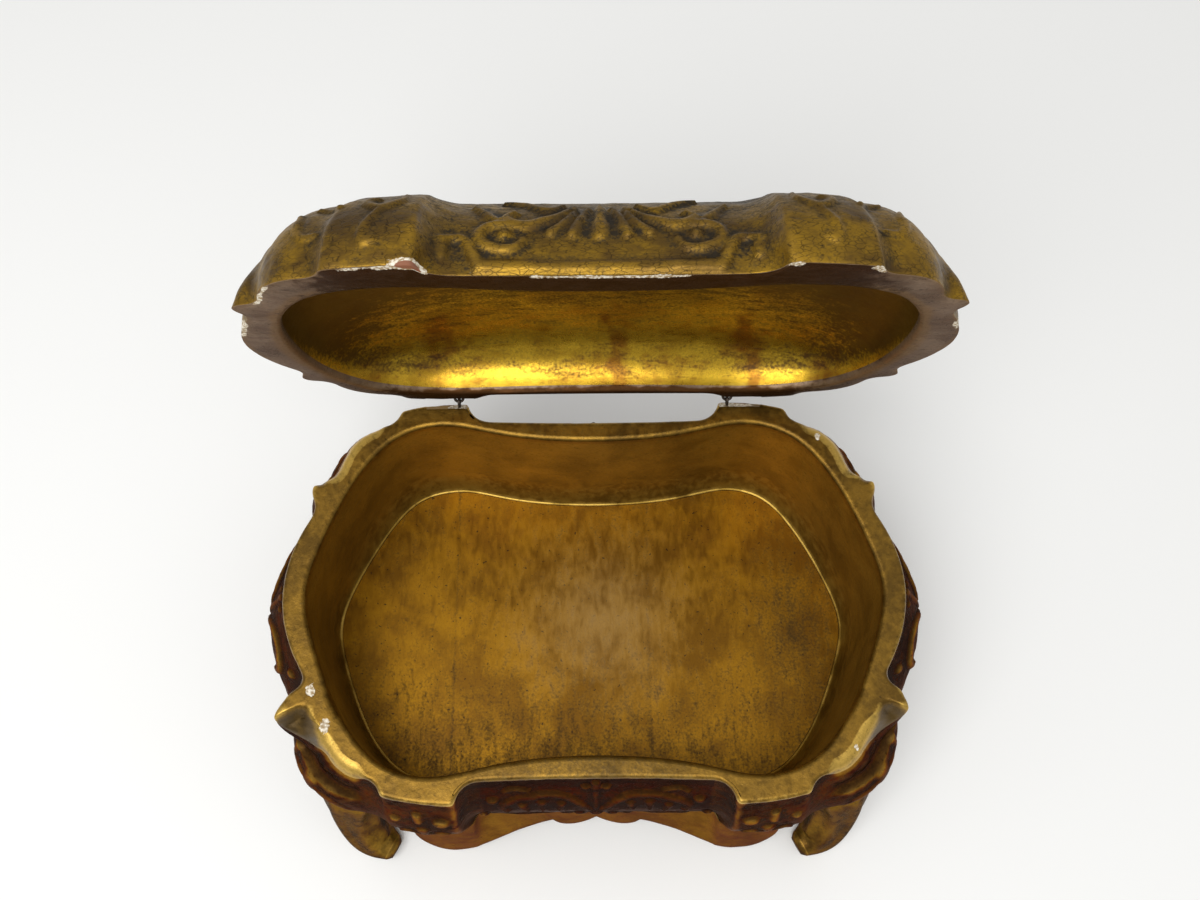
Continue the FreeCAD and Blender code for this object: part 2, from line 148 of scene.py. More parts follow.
def normals(points, closed_rows):
    """Unit normals of a surface closed along its columns: cross product of its two central differences."""
    along = np.roll(points, -1, 1) - np.roll(points, 1, 1)
    up = np.roll(points, -1, 0) - np.roll(points, 1, 0) if closed_rows else np.gradient(points, axis=0)
    n = np.cross(along, up)
    return n / np.maximum(np.linalg.norm(n, axis=-1, keepdims=True), 1e-12)


# %% One builder for all meshes
def band(rows, columns, closed_rows, closed_columns):
    """Quads of a surface of rows and columns, as indices into its points."""
    r = np.arange(rows if closed_rows else rows - 1)
    c = np.arange(columns if closed_columns else columns - 1)
    a, b = np.meshgrid(r, c, indexing="ij")
    a2, b2 = (a + 1) % rows, (b + 1) % columns
    corners = [a * columns + b, a * columns + b2, a2 * columns + b2, a2 * columns + b]
    return np.stack(corners, -1).reshape(-1, 4)


def piece(name, points, polygons, materials, body, stands_for, marks, picks=None):
    """Mesh object from points in millimetres, lists of equal-sided polygons and float marks on its points."""
    mesh = bpy.data.meshes.new(name)
    flat = points.reshape(-1, 3) * MM
    mesh.vertices.add(len(flat))
    mesh.vertices.foreach_set("co", flat.astype(np.float32).ravel())
    corners = np.concatenate([p.ravel() for p in polygons])
    sizes = np.concatenate([np.full(len(p), p.shape[1]) for p in polygons])
    mesh.loops.add(len(corners))
    mesh.loops.foreach_set("vertex_index", corners.astype(np.int32))
    mesh.polygons.add(len(sizes))
    mesh.polygons.foreach_set("loop_start", np.concatenate([[0], np.cumsum(sizes)[:-1]]).astype(np.int32))
    for material in materials:
        mesh.materials.append(material)
    if picks is not None:
        mesh.polygons.foreach_set("material_index", picks.astype(np.int32))
    mesh.polygons.foreach_set("use_smooth", np.ones(len(sizes), bool))
    mesh.update(calc_edges=True)
    for mark, values in marks.items():
        attribute = mesh.attributes.new(mark, "FLOAT", "POINT")
        attribute.data.foreach_set("value", np.asarray(values, np.float32).ravel())
    made = bpy.data.objects.new(name, mesh)
    bpy.context.scene.collection.objects.link(made)
    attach(made, body)
    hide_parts(*stands_for)
    triangles = int((sizes - 2).sum())
    print(name, "points", len(flat), "triangles", triangles)
    return made


def wear_marks(points, closed_rows, stride, depth):
    """How hollow and how proud each point is: its neighbours' mean height over it, as a share of a depth."""
    n = normals(points, closed_rows)
    mean = (np.roll(points, stride, 1) + np.roll(points, -stride, 1)) / 4
    if closed_rows:
        mean = mean + (np.roll(points, stride, 0) + np.roll(points, -stride, 0)) / 4
    else:
        padded = np.pad(points, ((stride, stride), (0, 0), (0, 0)), mode="edge")
        mean = mean + (padded[2 * stride :] + padded[: -2 * stride]) / 4
    lift = ((mean - points) * n).sum(-1) / depth
    return np.clip(lift, 0, 1), np.clip(-lift, 0, 1)


# %% [markdown]
# ## Carving
# Rococo carving is raised strokes: scrolls, leaves and beads. A stroke is a smooth line with a width at each
# of its points, and its height falls off roundly from the line to its edge, so one function carves them all.

# %% Raised strokes
def smooth_line(points, widths):
    """Line and widths through a stroke's points, sampled eight times a span on a spline."""
    at = np.linspace(0, len(points) - 1, 8 * (len(points) - 1) + 1)
    return spline(np.arange(len(points)), points, at), np.interp(at, np.arange(len(points)), widths)


def carve(x, s, strokes):
    """Relief on a chart: for each stroke, height * (1 - (distance / width)^3.2) within its width."""
    relief = np.zeros_like(x)
    for height, points, widths in strokes:
        points = np.array(points, float)
        line, width = (points, np.array(widths, float)) if len(points) == 1 else smooth_line(points, widths)
        low, high = line.min(0) - width.max(), line.max(0) + width.max()
        near = (x > low[0]) & (x < high[0]) & (s > low[1]) & (s < high[1])
        place = np.stack([x[near], s[near]], -1)[:, None]
        if len(points) == 1:
            ratio = np.linalg.norm(place[:, 0] - line[0], axis=-1) / width[0]
        else:
            step = line[1:] - line[:-1]
            t = ((place - line[:-1]) * step).sum(-1) / np.maximum((step**2).sum(-1), 1e-9)
            t = np.clip(t, 0, 1)
            gap = np.linalg.norm(place - (line[:-1] + t[..., None] * step), axis=-1)
            ratio = (gap / (width[:-1] + t * (width[1:] - width[:-1]))).min(1)
        relief[near] = np.maximum(relief[near], height * np.maximum(1 - ratio**3.2, 0))
    return relief


# %% [markdown]
# ## The carved plan
# One quarter of the plan runs from the recess in the long side, round the projecting panel and the corner
# knee, to the horn and the end. Every three points make one short curve. The other quarters are mirrored,
# and the back swells less, because it stands against a wall.

# %% The plan as shares
carved_quarter_shares = np.array([
    (0.352, 0.892), (0.403, 0.922), (0.430, 1.000), (0.543, 0.988), (0.653, 0.954),
    (0.670, 0.902), (0.701, 0.873), (0.790, 0.815), (0.844, 0.686), (0.851, 0.616),
    (0.890, 0.587), (0.960, 0.572), (0.943, 0.480), (0.914, 0.436), (0.920, 0.383),
])
plain_tail_shares = [
    (0.866, 0.637), (0.884, 0.588), (0.900, 0.537), (0.914, 0.485), (0.926, 0.435), (0.937, 0.383),
]
plain_quarter_shares = np.vstack([carved_quarter_shares[:9], plain_tail_shares])
swell_shares = np.array([
    (0.15, 0.76), (0.13, 0.72), (0.10, 0.68), (0.06, 0.72), (0.12, 0.74),
    (0.23, 0.86), (0.39, 0.86), (1.15, 0.66), (1.44, 0.30), (1.38, 0.24),
    (1.21, 0.14), (0.87, -0.10), (0.95, 0.03), (1.10, -0.02), (1.14, 0.00),
])
recess_middle_share = 0.882
recess_middle_swell_share = 0.80
end_swell_share = 1.1
rear_swell_share = 0.7
rear_fading_share = 0.5
wall_level_shares = np.array([0.00, 0.10, 0.25, 0.43, 0.70, 1.00])
level_swell_shares = np.array([0.00, 0.16, 0.62, 1.00, 0.86, 0.45])
level_fading_shares = np.array([0.0, 0.1, 0.4, 0.8, 1.0, 1.0])


def plan_ring(place, fading):
    """The plan's 64 points, from the front right end of the recess round; place takes shares and swells."""
    quarters = []
    for x_sign, y_sign in ((1, -1), (1, 1), (-1, 1), (-1, -1)):
        faded = max(fading, rear_fading_share) if y_sign > 0 else fading
        shares = carved_quarter_shares + faded * (plain_quarter_shares - carved_quarter_shares)
        swells = swell_shares * (rear_swell_share if y_sign > 0 else 1)
        quarters.append(place(shares, swells) * (x_sign, y_sign))
    end = place(np.array([[1.0, 0.0]]), np.array([[end_swell_share, 0.0]]))
    middle = np.array([[0.0, recess_middle_share]])
    swell = np.array([[0.0, recess_middle_swell_share]])
    rear, front = place(middle, swell * rear_swell_share), place(middle, swell) * (1, -1)
    right, left = quarters[:2], quarters[2:]
    return np.vstack([right[0], end, right[1][::-1], rear, left[0], -end, left[1][::-1], front])


def along_arcs(rings, counts):
    """Points along rings: each three points in turn are one parabola, cut into its count of columns."""
    columns = []
    for k, count in enumerate(counts):
        t = (np.arange(count) / count)[:, None]
        first, middle, last = rings[:, 2 * k], rings[:, 2 * k + 1], rings[:, (2 * k + 2) % rings.shape[1]]
        curve = (1 - t) * (1 - 2 * t) * first[:, None] + 4 * t * (1 - t) * middle[:, None]
        columns.append(curve + t * (2 * t - 1) * last[:, None])
    return np.concatenate(columns, 1)


def rim_place(shares, swells):
    """Place on the rim, which doesn't swell."""
    return shares * (rim_half_length, rim_half_width)


def column_counts(spacing):
    """Columns of each arc of the rim at a spacing in millimetres."""
    ring = plan_ring(rim_place, 0)
    closed = np.vstack([ring, ring[:1]])
    lengths = np.linalg.norm(np.diff(closed, axis=0), axis=-1)
    return np.maximum(4, np.round((lengths[0::2] + lengths[1::2]) / spacing)).astype(int)


def inner_oval(quarter_shares, half_length, half_width, angles):
    """Closed spline through a quarter's points and its mirror images, read at angles round the middle."""
    quarter = np.array(quarter_shares) * (half_length, half_width)
    right = np.vstack([quarter, quarter[-2::-1] * (1, -1)])
    whole = np.vstack([right, right[-2:0:-1] * (-1, 1)])
    laps = np.vstack([whole, whole, whole, whole[:1]])
    at = np.linspace(len(whole), 2 * len(whole), 2000)
    line = spline(np.arange(len(laps)), laps, at)
    turn = np.unwrap(np.arctan2(line[:, 1], line[:, 0]))[::-1]
    reach = np.linalg.norm(line, axis=-1)[::-1]
    angles = (angles - turn[0]) % (2 * math.pi) + turn[0]
    return np.interp(angles, turn, reach)[..., None] * np.stack([np.cos(angles), np.sin(angles)], -1)


def facing_angles(outline):
    """Angle round the middle for each column, from the outline blurred until it has no horns."""
    soft = blur(outline, len(outline) / 60, 0, True)
    return np.unwrap(np.arctan2(soft[:, 1], soft[:, 0]))


inner_quarter_shares = [
    (0.000, 0.897), (0.310, 0.934), (0.530, 1.000), (0.700, 0.938),
    (0.812, 0.772), (0.899, 0.532), (0.971, 0.233), (1.000, 0.000),
]
bowl_quarter_shares = [
    (0.000, 0.955), (0.270, 0.968), (0.510, 1.000), (0.685, 0.965),
    (0.815, 0.867), (0.902, 0.708), (0.973, 0.425), (1.000, 0.000),
]
wall_spacing = 0.66
lid_spacing = 0.84
print("columns of the walls:", column_counts(wall_spacing).sum())

# %% [markdown]
# ## Finishes
# Old water gilding is seen in layers: white gesso under red bole under gold leaf, with dark toning on top.
# Handling rubs the crests, dirt stays in the hollows, and chips go through to the gesso. One function lays
# these layers in that order. The marks of hollows, crests, chips, shade, bole and dust are worked out from
# the shape and the place of each point. The crest mark also carries painted highlights and a painted
# reflection, and the shade mark carries painted shade and painted light as well as dirt and stains.

# %% Colours and nodes
def linear(code, alpha=1.0):
    """Linear colour from an sRGB hex code."""
    parts = [int(code[i : i + 2], 16) / 255 for i in (1, 3, 5)]
    return tuple(c / 12.92 if c <= 0.04045 else ((c + 0.055) / 1.055) ** 2.4 for c in parts) + (alpha,)


def add(tree, kind, inputs, output=0, **settings):
    """One output of a new shader node with its settings; an input takes a value or another node's output."""
    node = tree.nodes.new("ShaderNode" + kind)
    for key, value in settings.items():
        setattr(node, key, value)
    for key, value in inputs.items():
        if isinstance(value, bpy.types.NodeSocket):
            tree.links.new(value, node.inputs[key])
        else:
            node.inputs[key].default_value = value
    return node.outputs[output] if node.outputs else None


even = (1.0, 1.0, 1.0)
lengthwise = (0.45, 1.0, 1.0)
burnished = (0.25, 1.0, 1.0)
front_to_back = (1.0, 0.35, 1.0)
usual_finish = {
    "leaf": "#b08a2a", "deep": "#7a5a1c", "bright": "#d8b04a", "bole": "#6a3216", "grime": "#2c2116",
    "roughness": 0.4, "metallic": 0.85, "bright_amount": 0.7, "bole_amount": 0.4, "grime_amount": 0.8,
    "cracks": 0.4, "dots": 0.4, "chips": 0.1, "stretch": even, "relief": 0.25, "dulling": 0.2,
    "edge": "#ffffff",
}
mark_names = ("hollow", "crest_and_highlight", "chip", "dirt_and_shade", "bole", "dust")
crackle_size = 1.1
dot_colour = "#241a10"
dust_colour = "#9c7c42"
crack_colour = "#1e150c"
gesso_dirty, gesso_white = "#9c8460", "#eae2d0"
wood_colour = "#8a5a42"
print("marks that the finishes read:", mark_names)


# %% The layers of one gilding
def gilding(name, **changes):
    """Gilded gesso: leaf of two tones, bright crests and painted highlights, bole, grime and painted shade,
    dots, dust, cracks and gesso chips.
    """
    finish = {**usual_finish, **changes}
    material = bpy.data.materials.new(name)
    material.use_nodes = True
    tree = material.node_tree
    tree.nodes.clear()
    times = {"operation": "MULTIPLY"}

    def blend(*terms):
        """Sum of fields, each with its weight and the value that counts as nothing."""
        result = 0.0
        for source, weight, zero in terms:
            part = add(tree, "Math", {0: source, 1: zero}, operation="SUBTRACT")
            part = add(tree, "Math", {0: part, 1: weight}, **times)
            result = add(tree, "Math", {0: result, 1: part}, operation="ADD")
        return result

    def spread(low, high, *terms):
        """How far a coat spreads: a blend of fields, eased from 0 at low to 1 at high."""
        inputs = {"Value": blend(*terms), "From Min": low, "From Max": high, "To Min": 0.0, "To Max": 1.0}
        return add(tree, "MapRange", inputs, interpolation_type="SMOOTHSTEP")

    def coat(under, over, where, strength=1.0):
        """One colour laid over another where it spreads, times its strength."""
        amount = add(tree, "Math", {0: where, 1: strength}, **times)
        return add(tree, "Mix", {0: amount, 6: under, 7: over}, 2, data_type="RGBA")

    place = add(tree, "TexCoord", {}, "Object")
    drawn = add(tree, "Mapping", {"Vector": place, "Scale": finish["stretch"]})
    # Each noise has its size in millimetres, its detail and the coordinates that it is drawn on
    grains = [(16, 3, place), (4, 4, place), (0.9, 3, place), (2.4, 5, drawn), (1.4, 2, place), (3, 2, place)]
    broad, middle, fine, streaks, specks, breaks = (
        add(tree, "TexNoise", {"Vector": on, "Scale": 1 / (size * MM), "Detail": detail, "Distortion": 0.4})
        for size, detail, on in grains
    )
    hollow, crest_and_highlight, chip, dirt_and_shade, bole, dusty = (
        add(tree, "Attribute", {}, "Fac", attribute_name=word) for word in mark_names
    )
    tones = spread(0.36, 0.62, (broad, 0.6, 0), (streaks, 0.4, 0))
    colour = coat(linear(finish["deep"]), linear(finish["leaf"]), tones)
    # Bright leaf on rubbed crests, and painted highlights and a painted reflection where the crest mark
    # carries them
    rubbed_and_highlit = spread(0.25, 0.95, (crest_and_highlight, 1.0, 0), (streaks, 0.7, 0.5), (fine, 0.5, 0.5))
    colour = coat(colour, linear(finish["bright"]), rubbed_and_highlit, finish["bright_amount"])
    bare = spread(0.1, 0.7, (bole, 1.0, 0), (middle, 1.0, 0.5), (streaks, 0.8, 0.5))
    colour = coat(colour, linear(finish["bole"]), bare, finish["bole_amount"])
    # Dark coat: grime in the hollows and stains, with painted shade where the shade mark is high and painted
    # light where it is low
    grime_and_shade = spread(0.05, 0.8, (hollow, 0.8, 0), (dirt_and_shade, 0.8, 0), (fine, 1.0, 0.5), (streaks, 1.1, 0.5))
    grime_and_shade = add(tree, "Math", {0: grime_and_shade, 1: finish["grime_amount"]}, **times)
    colour = coat(colour, linear(finish["grime"]), grime_and_shade)
    colour = coat(colour, linear(dot_colour), spread(0.67, 0.73, (specks, 1.0, 0)), finish["dots"])
    dust = spread(0.1, 0.9, (dusty, 1.0, 0), (streaks, 0.7, 0.5), (broad, 0.8, 0.5))
    dust = add(tree, "Math", {0: dust, 1: dusty}, **times)
    colour = coat(colour, linear(dust_colour), dust)
    inputs = {"Vector": drawn, "Scale": 1 / (crackle_size * MM)}
    net = add(tree, "TexVoronoi", inputs, feature="DISTANCE_TO_EDGE")
    on_net, in_patches = spread(0.09, 0.0, (net, 1.0, 0)), spread(0.36, 0.56, (middle, 1.0, 0))
    crack = add(tree, "Math", {0: on_net, 1: in_patches}, **times)
    colour = coat(colour, linear(crack_colour), crack, finish["cracks"])
    edges = add(tree, "Math", {0: spread(0.62, 0.68, (breaks, 1.0, 0)), 1: finish["chips"]}, **times)
    edges = add(tree, "Math", {0: crest_and_highlight, 1: edges}, **times)
    broken = blend((chip, 1.0, 0), (fine, 0.5, 0.5), (middle, 0.8, 0.5))
    broken = add(tree, "Math", {0: broken, 1: spread(0.0, 0.1, (chip, 1.0, 0))}, **times)
    broken = add(tree, "Math", {0: broken, 1: edges}, operation="MAXIMUM")
    gesso = spread(0.36, 0.52, (broken, 1.0, 0))
    chipped = coat(linear(gesso_dirty), linear(gesso_white), spread(0.35, 0.65, (fine, 1.0, 0)))
    chipped = coat(chipped, linear(wood_colour), spread(1.15, 1.35, (chip, 1.0, 0), (middle, 0.6, 0.5)))
    colour = coat(colour, chipped, gesso)
    covered = add(tree, "Math", {0: gesso, 1: dust}, operation="MAXIMUM")
    clean = blend((1.0, 1.0, 0), (grime_and_shade, -finish["dulling"], 0))
    shine = add(tree, "Math", {0: clean, 1: finish["metallic"]}, **times)
    shine = add(tree, "Math", {0: shine, 1: blend((1.0, 1.0, 0), (covered, -1.0, 0))}, **times)
    rough = blend(
        (streaks, 0.3, 0.5), (fine, 0.15, 0.5), (grime_and_shade, 0.12, 0), (gesso, 0.4, 0),
        (finish["roughness"], 1.0, 0),
    )
    height = blend((fine, 0.5, 0), (streaks, 0.45, 0), (crack, -0.4 * finish["cracks"], 0), (gesso, -0.8, 0))
    bump = add(tree, "Bump", {"Height": height, "Strength": 0.5, "Distance": finish["relief"] * MM})
    inputs = {"Base Color": colour, "Metallic": shine, "Roughness": rough, "Normal": bump}
    inputs["Specular Tint"] = linear(finish["edge"])
    add(tree, "OutputMaterial", {"Surface": add(tree, "BsdfPrincipled", inputs)})
    return material


# %% The finishes of this box
# Worn gold of the dome: toned leaf that reads brown black in its hollows and yellow on its crests
dome_gilding = gilding(
    "dome_gilding", leaf="#9c7820", deep="#604820", bright="#b48c36", bole="#5a3e1e", grime="#2a251d",
    roughness=0.46, bright_amount=0.3, bole_amount=0.25, grime_amount=0.95, cracks=0.6, dots=0.6,
    stretch=lengthwise,
)
# Burnished gold of the bowl: bright leaf with red clay showing where it is rubbed, and a dark coat painted at
# its top
bowl_gilding = gilding(
    "bowl_gilding", leaf="#d8b030", deep="#ac8420", bright="#e8cc60", bole="#7c3c10", grime="#3a2206",
    roughness=0.3, metallic=0.85, bole_amount=0.7, grime_amount=0.9, cracks=0.1, dots=0.15, chips=0.0,
    stretch=burnished, relief=0.06,
)
# Toned rim of the lid: dull mauve grey at the ends and dark brown in the middle, with little of the leaf left
toned_rim = gilding(
    "toned_rim", leaf="#96826f", deep="#786452", bright="#9a7c54", bole="#42260c", grime="#32261c",
    roughness=0.46, metallic=0.75, dulling=0.5, bole_amount=0.95, grime_amount=0.45, cracks=0.2,
    stretch=lengthwise, edge="#6a5038",
)
# Rim gold of the body: satin leaf handled at every opening
rim_gilding = gilding(
    "rim_gilding", leaf="#8a6824", deep="#644a1a", bright="#e4bc5c", bole="#6c441a", grime="#342a18",
    roughness=0.4, bole_amount=0.5, grime_amount=0.65, cracks=0.15, chips=0.25,
)
# Amber gold of the inside walls: toned leaf that each wall throws back at the next, so it looks deeper
inside_gilding = gilding(
    "inside_gilding", leaf="#98782c", deep="#74581c", bright="#c8a44c", bole="#6a481a", grime="#2c220c",
    roughness=0.44, metallic=0.8, bole_amount=0.3, grime_amount=0.7, cracks=0.12, dots=0.4, chips=0.0,
    stretch=front_to_back, relief=0.09,
)
# Amber gold of the floor: satin toned leaf with dark dots, drawn from front to back like the planks
floor_gilding = gilding(
    "floor_gilding", leaf="#a4740e", deep="#7a5208", bright="#d09c20", bole="#70400a", grime="#2c2008",
    roughness=0.42, metallic=0.8, bole_amount=0.4, grime_amount=0.75, cracks=0.12, dots=0.8, chips=0.0,
    stretch=front_to_back, relief=0.05,
)
# Bronze gold of the belly: dark glossy toning, gold left on the crests, and brown where seen edge on
bronze_gilding = gilding(
    "bronze_gilding", leaf="#765226", deep="#50361c", bright="#c4984a", bole="#4e2a12", grime="#2a1b0e",
    roughness=0.34, metallic=0.95, bright_amount=0.7, bole_amount=0.8, grime_amount=0.8, cracks=0.2,
    chips=0.15, relief=0.1, dulling=0.1, edge="#80583a",
)
# Copper gold of the aprons: smooth reddish leaf
copper_gilding = gilding(
    "copper_gilding", leaf="#8e6628", deep="#6e4c1e", bright="#d8a850", bole="#6a4420", grime="#34220e",
    roughness=0.38, bole_amount=0.5, grime_amount=0.5, cracks=0.2, stretch=lengthwise, edge="#9a703c",
)
# Bronze of the feet: darker leaf with small chips
foot_gilding = gilding(
    "foot_gilding", leaf="#94722e", deep="#5a421c", bright="#cfa24a", bole="#5e3414", grime="#241a0e",
    roughness=0.36, bole_amount=0.35, grime_amount=0.7, cracks=0.2, chips=0.5, edge="#5a4020",
)
print("finishes:", [m.name for m in bpy.data.materials if m.use_nodes])

# %% [markdown]
# ## The four walls
# The walls are one closed ring of columns round the plan. Each column is a closed loop of rows: up the belly,
# over a softened arris, across the rim, down the inside, round a cove of gesso at the floor and back under.
# The ring is then cut at the four mitres, where the real boards meet, and each run of columns is one piece.

# %% The carving on the walls, on a chart of distance from the middle and depth under the rim
def mirrored_strokes(strokes):
    """Strokes and their mirror images across the middle line; a stroke on the line is kept once."""
    aside = [stroke for stroke in strokes if max(abs(x) for x, s in stroke[1]) > 0.01]
    return strokes + [(height, [(-x, s) for x, s in line], widths) for height, line, widths in aside]


front_strokes = mirrored_strokes([
    (1.7, [(0, 5), (0, 9)], [1.6, 2.2]),
    (1.5, [(3.4, 8.6)], [1.9]),
    (1.3, [(0, 10), (0, 18), (0, 27)], [1.8, 1.2, 1.5]),
    (1.6, [(0, 29)], [1.9]),
    (1.2, [(2, 26.7), (6.4, 19.6), (11.8, 14.7), (18.3, 14.3), (26.8, 17.6), (31, 22), (30, 27)],
     [1.1, 1.9, 2.5, 2.6, 2.4, 2.1, 1.5]),
    (1.0, [(11.5, 21), (12.5, 27)], [1.8, 0.9]),
    (1.0, [(18, 20), (18, 28)], [2.0, 0.9]),
    (1.0, [(24.5, 22.5), (23, 28.5)], [1.8, 0.9]),
    (1.6, [(34.3, 17.1)], [2.4]),
    (1.3, [(22, 11), (27, 9.4), (30, 11.6)], [0.9, 1.5, 1.1]),
    (1.4, [(38, 33)], [1.9]),
    (1.3, [(0, 35), (0, 47)], [2.5, 1.0]),
    (1.2, [(5.8, 37), (2.6, 47.5)], [2.1, 0.9]),
    (1.1, [(11, 41), (4.6, 49)], [1.9, 0.8]),
    (1.2, [(7, 52), (14, 48), (21, 43), (28, 42), (32, 46), (30, 50), (26.5, 49)],
     [0.9, 1.6, 2.1, 2.1, 1.9, 1.6, 1.3]),
    (1.5, [(50.9, 17.6)], [3.3]),
    (1.4, [(58.5, 12.5), (58.5, 17.5)], [1.9, 1.9]),
    (1.4, [(66.2, 18)], [1.9]),
    (1.2, [(58, 26), (58, 33.5)], [2.7, 1.2]),
    (1.1, [(58, 35.5), (58, 42.5)], [2.3, 1.0]),
    (1.0, [(58, 44.5), (58, 51.5)], [1.9, 0.8]),
    (1.0, [(56.5, 34), (53, 29.5), (50, 31)], [0.9, 1.6, 0.9]),
    (1.0, [(59.5, 34), (63, 29.5), (66, 31)], [0.9, 1.6, 0.9]),
])
end_strokes = mirrored_strokes([
    (1.6, [(0, 6), (0, 10)], [1.6, 2.2]),
    (1.3, [(3.4, 9.6)], [1.8]),
    (1.3, [(0, 12), (0, 19), (0, 27)], [1.7, 1.2, 1.5]),
    (1.5, [(2, 27), (7, 19.5), (13, 16), (19, 18), (22, 23), (20, 28)], [0.9, 1.7, 2.1, 2.0, 1.6, 1.1]),
    (1.4, [(25, 14)], [2.0]),
    (1.3, [(0, 35), (0, 47)], [2.5, 1.0]),
    (1.2, [(5.8, 37), (2.6, 47.5)], [2.1, 0.9]),
    (1.1, [(6, 52), (12, 47), (18, 43), (22, 46), (20, 50)], [0.9, 1.6, 2.0, 1.7, 1.2]),
])

knee_strokes = mirrored_strokes([
    (0.9, [(0, 22), (0, 38), (0, 62)], [2.6, 2.4, 1.5]),
    (0.8, [(2, 26), (6, 28), (9, 33), (7.5, 37)], [1.8, 2.8, 2.6, 1.6]),
    (0.8, [(2, 38), (6, 40), (8.5, 45), (6.5, 49)], [1.8, 2.6, 2.4, 1.5]),
    (0.7, [(2, 49), (5, 51), (7, 55), (5, 58)], [1.5, 2.2, 2.0, 1.3]),
]) + [(1.3, [(9.5, 19), (9, 24)], [2.4, 1.7])]


# %% The ring of the walls
def swollen(reach):
    """Place of a plan point with the belly standing out by a reach."""
    def place(shares, swells):
        return shares * (rim_half_length, rim_half_width) + swells * reach
    return place


def ease(low, high, values):
    """Smooth step from 0 at low to 1 at high."""
    t = np.clip((values - low) / (high - low), 0, 1)
    return t * t * (3 - 2 * t)


outer_round = 1.4
knee_round = 2.8
inner_round = 1.6
left_cove = 1.4
side_cove = 2.4
rear_cove = 4.0
cove_rise = 3.0
left_lean = 2.2
wall_relief_share = 0.7
rebate_width = 3.0
mitre_line = 32.5
outside_rows = 92
plan_softening = 1.3
counts = column_counts(wall_spacing)
level_rings = np.array([
    plan_ring(swollen(belly_swell * swell), fading)
    for swell, fading in zip(level_swell_shares, level_fading_shares)
])
outside_levels = np.linspace(1, outer_round / wall_height, outside_rows)
sharp_outline = along_arcs(spline(wall_level_shares, level_rings, outside_levels), counts)
outline = blur(sharp_outline, plan_softening, 1, True)
heights = rim_height - outside_levels * wall_height
columns = outline.shape[1]
outside = np.dstack([outline, np.broadcast_to(heights[:, None], outline.shape[:2])])
plan_out = normals(outside, False)
rim_line = outline[-1]
past_mitre = np.abs(rim_line[:, 0]) - np.abs(rim_line[:, 1]) - mitre_line
on_end = past_mitre > 0
depth = rim_height - outside[..., 2]
end_relief = carve(outside[..., 1], depth, end_strokes)
side_relief = carve(outside[..., 0], depth, front_strokes)
relief = wall_relief_share * np.where(on_end[None], end_relief, side_relief)
print("wall surface", outside.shape[:2], "highest relief", round(float(relief.max()), 2))

# %% Knees, by distance from the nearest mitre: a roll and a hollow under the rim, and a leaf below
length_along = np.cumsum(np.linalg.norm(np.diff(rim_line, axis=0, prepend=rim_line[-1:]), axis=-1))
mitres = np.flatnonzero(on_end != np.roll(on_end, 1))
gaps = np.abs(length_along[:, None] - length_along[mitres]).min(1)
from_knee = np.broadcast_to(gaps * np.where(on_end, 1, -1), depth.shape)
knee_zone = ease(-15, -10, from_knee) * (1 - ease(12, 17, from_knee))
roll_reach, roll_height, hollow_reach, hollow_depth = 11, 1.2, 8, 1.7
knee_roll = roll_height * np.sin(np.pi * np.clip(depth / roll_reach, 0, 1))
knee_hollow = hollow_depth * np.sin(np.pi * np.clip((depth - roll_reach) / hollow_reach, 0, 1))
relief = relief * ease(0.5, 3.5, depth) + knee_zone * (knee_roll - knee_hollow)
relief = relief + wall_relief_share * carve(from_knee, depth, knee_strokes)
relief = relief + 0.18 * noise(outside, 5.0) + 0.08 * noise(outside, 1.7)
outside = outside + plan_out * relief[..., None]
arris_round = outer_round + knee_round * knee_zone[0]
arris_reach = 16
outside[..., 2] -= (arris_round - outer_round) * (1 - ease(outer_round, arris_reach, depth))
print("knees at columns", mitres, "arris up to", round(float(arris_round.max()), 2))

# %% Rim, inside and underside of the walls
rim_softening = 3
angles = facing_angles(rim_line)
inner_line = inner_oval(inner_quarter_shares, inner_half_length, inner_half_width, angles)
inner_along = np.roll(inner_line, -1, 0) - np.roll(inner_line, 1, 0)
inner_along /= np.linalg.norm(inner_along, axis=-1, keepdims=True)
inner_out = np.stack([inner_along[:, 1], -inner_along[:, 0]], -1)
rim_out = plan_out[-1, :, :2] / np.linalg.norm(plan_out[-1, :, :2], axis=-1, keepdims=True)
rim_out = blur(rim_out, rim_softening, 0, True)
rim_out = rim_out / np.linalg.norm(rim_out, axis=-1, keepdims=True)


def level_row(line, z):
    """One row of the ring: a plan line at a height, or at a height for each of its points."""
    return np.column_stack([line, np.broadcast_to(z, len(line))])


def rounded(line, inwards, radius, z, turns):
    """Rows of a quarter round at the top of a line: 0 degrees on its side, 90 on the flat above it."""
    across = inwards * np.broadcast_to(radius, len(line))[:, None]
    return [
        level_row(line + across * (1 - math.cos(a)), z - radius * (1 - math.sin(a)))
        for a in np.radians(turns)
    ]


# %% Rows over the arris, across the rim and down to the floor
rim_outer, rim_inner = rim_line - rim_out * arris_round[:, None], inner_line + inner_out * inner_round
arris_rows = rounded(rim_line, -rim_out, arris_round, rim_height, [18, 36, 54, 72, 90])
flat_shares = np.linspace(0, 1, 17)[1:-1]
flat_rows = [level_row(rim_outer + (rim_inner - rim_outer) * share, rim_height) for share in flat_shares]
edge_rows = rounded(inner_line, inner_out, inner_round, rim_height, [90, 67.5, 45, 22.5, 0])
on_left = ease(-55, -85, inner_line[:, 0])
cove = side_cove + (left_cove - side_cove) * on_left
cove = (cove + (rear_cove - cove) * ease(5, 45, inner_line[:, 1]))[:, None]
wall_foot_line = inner_line + inner_out * (left_lean * on_left)[:, None]
wall_shares = np.linspace(0, 1, 26)[1:]
wall_top = rim_height - inner_round
wall_drop = wall_top - floor_height - cove_rise * rear_cove - 1
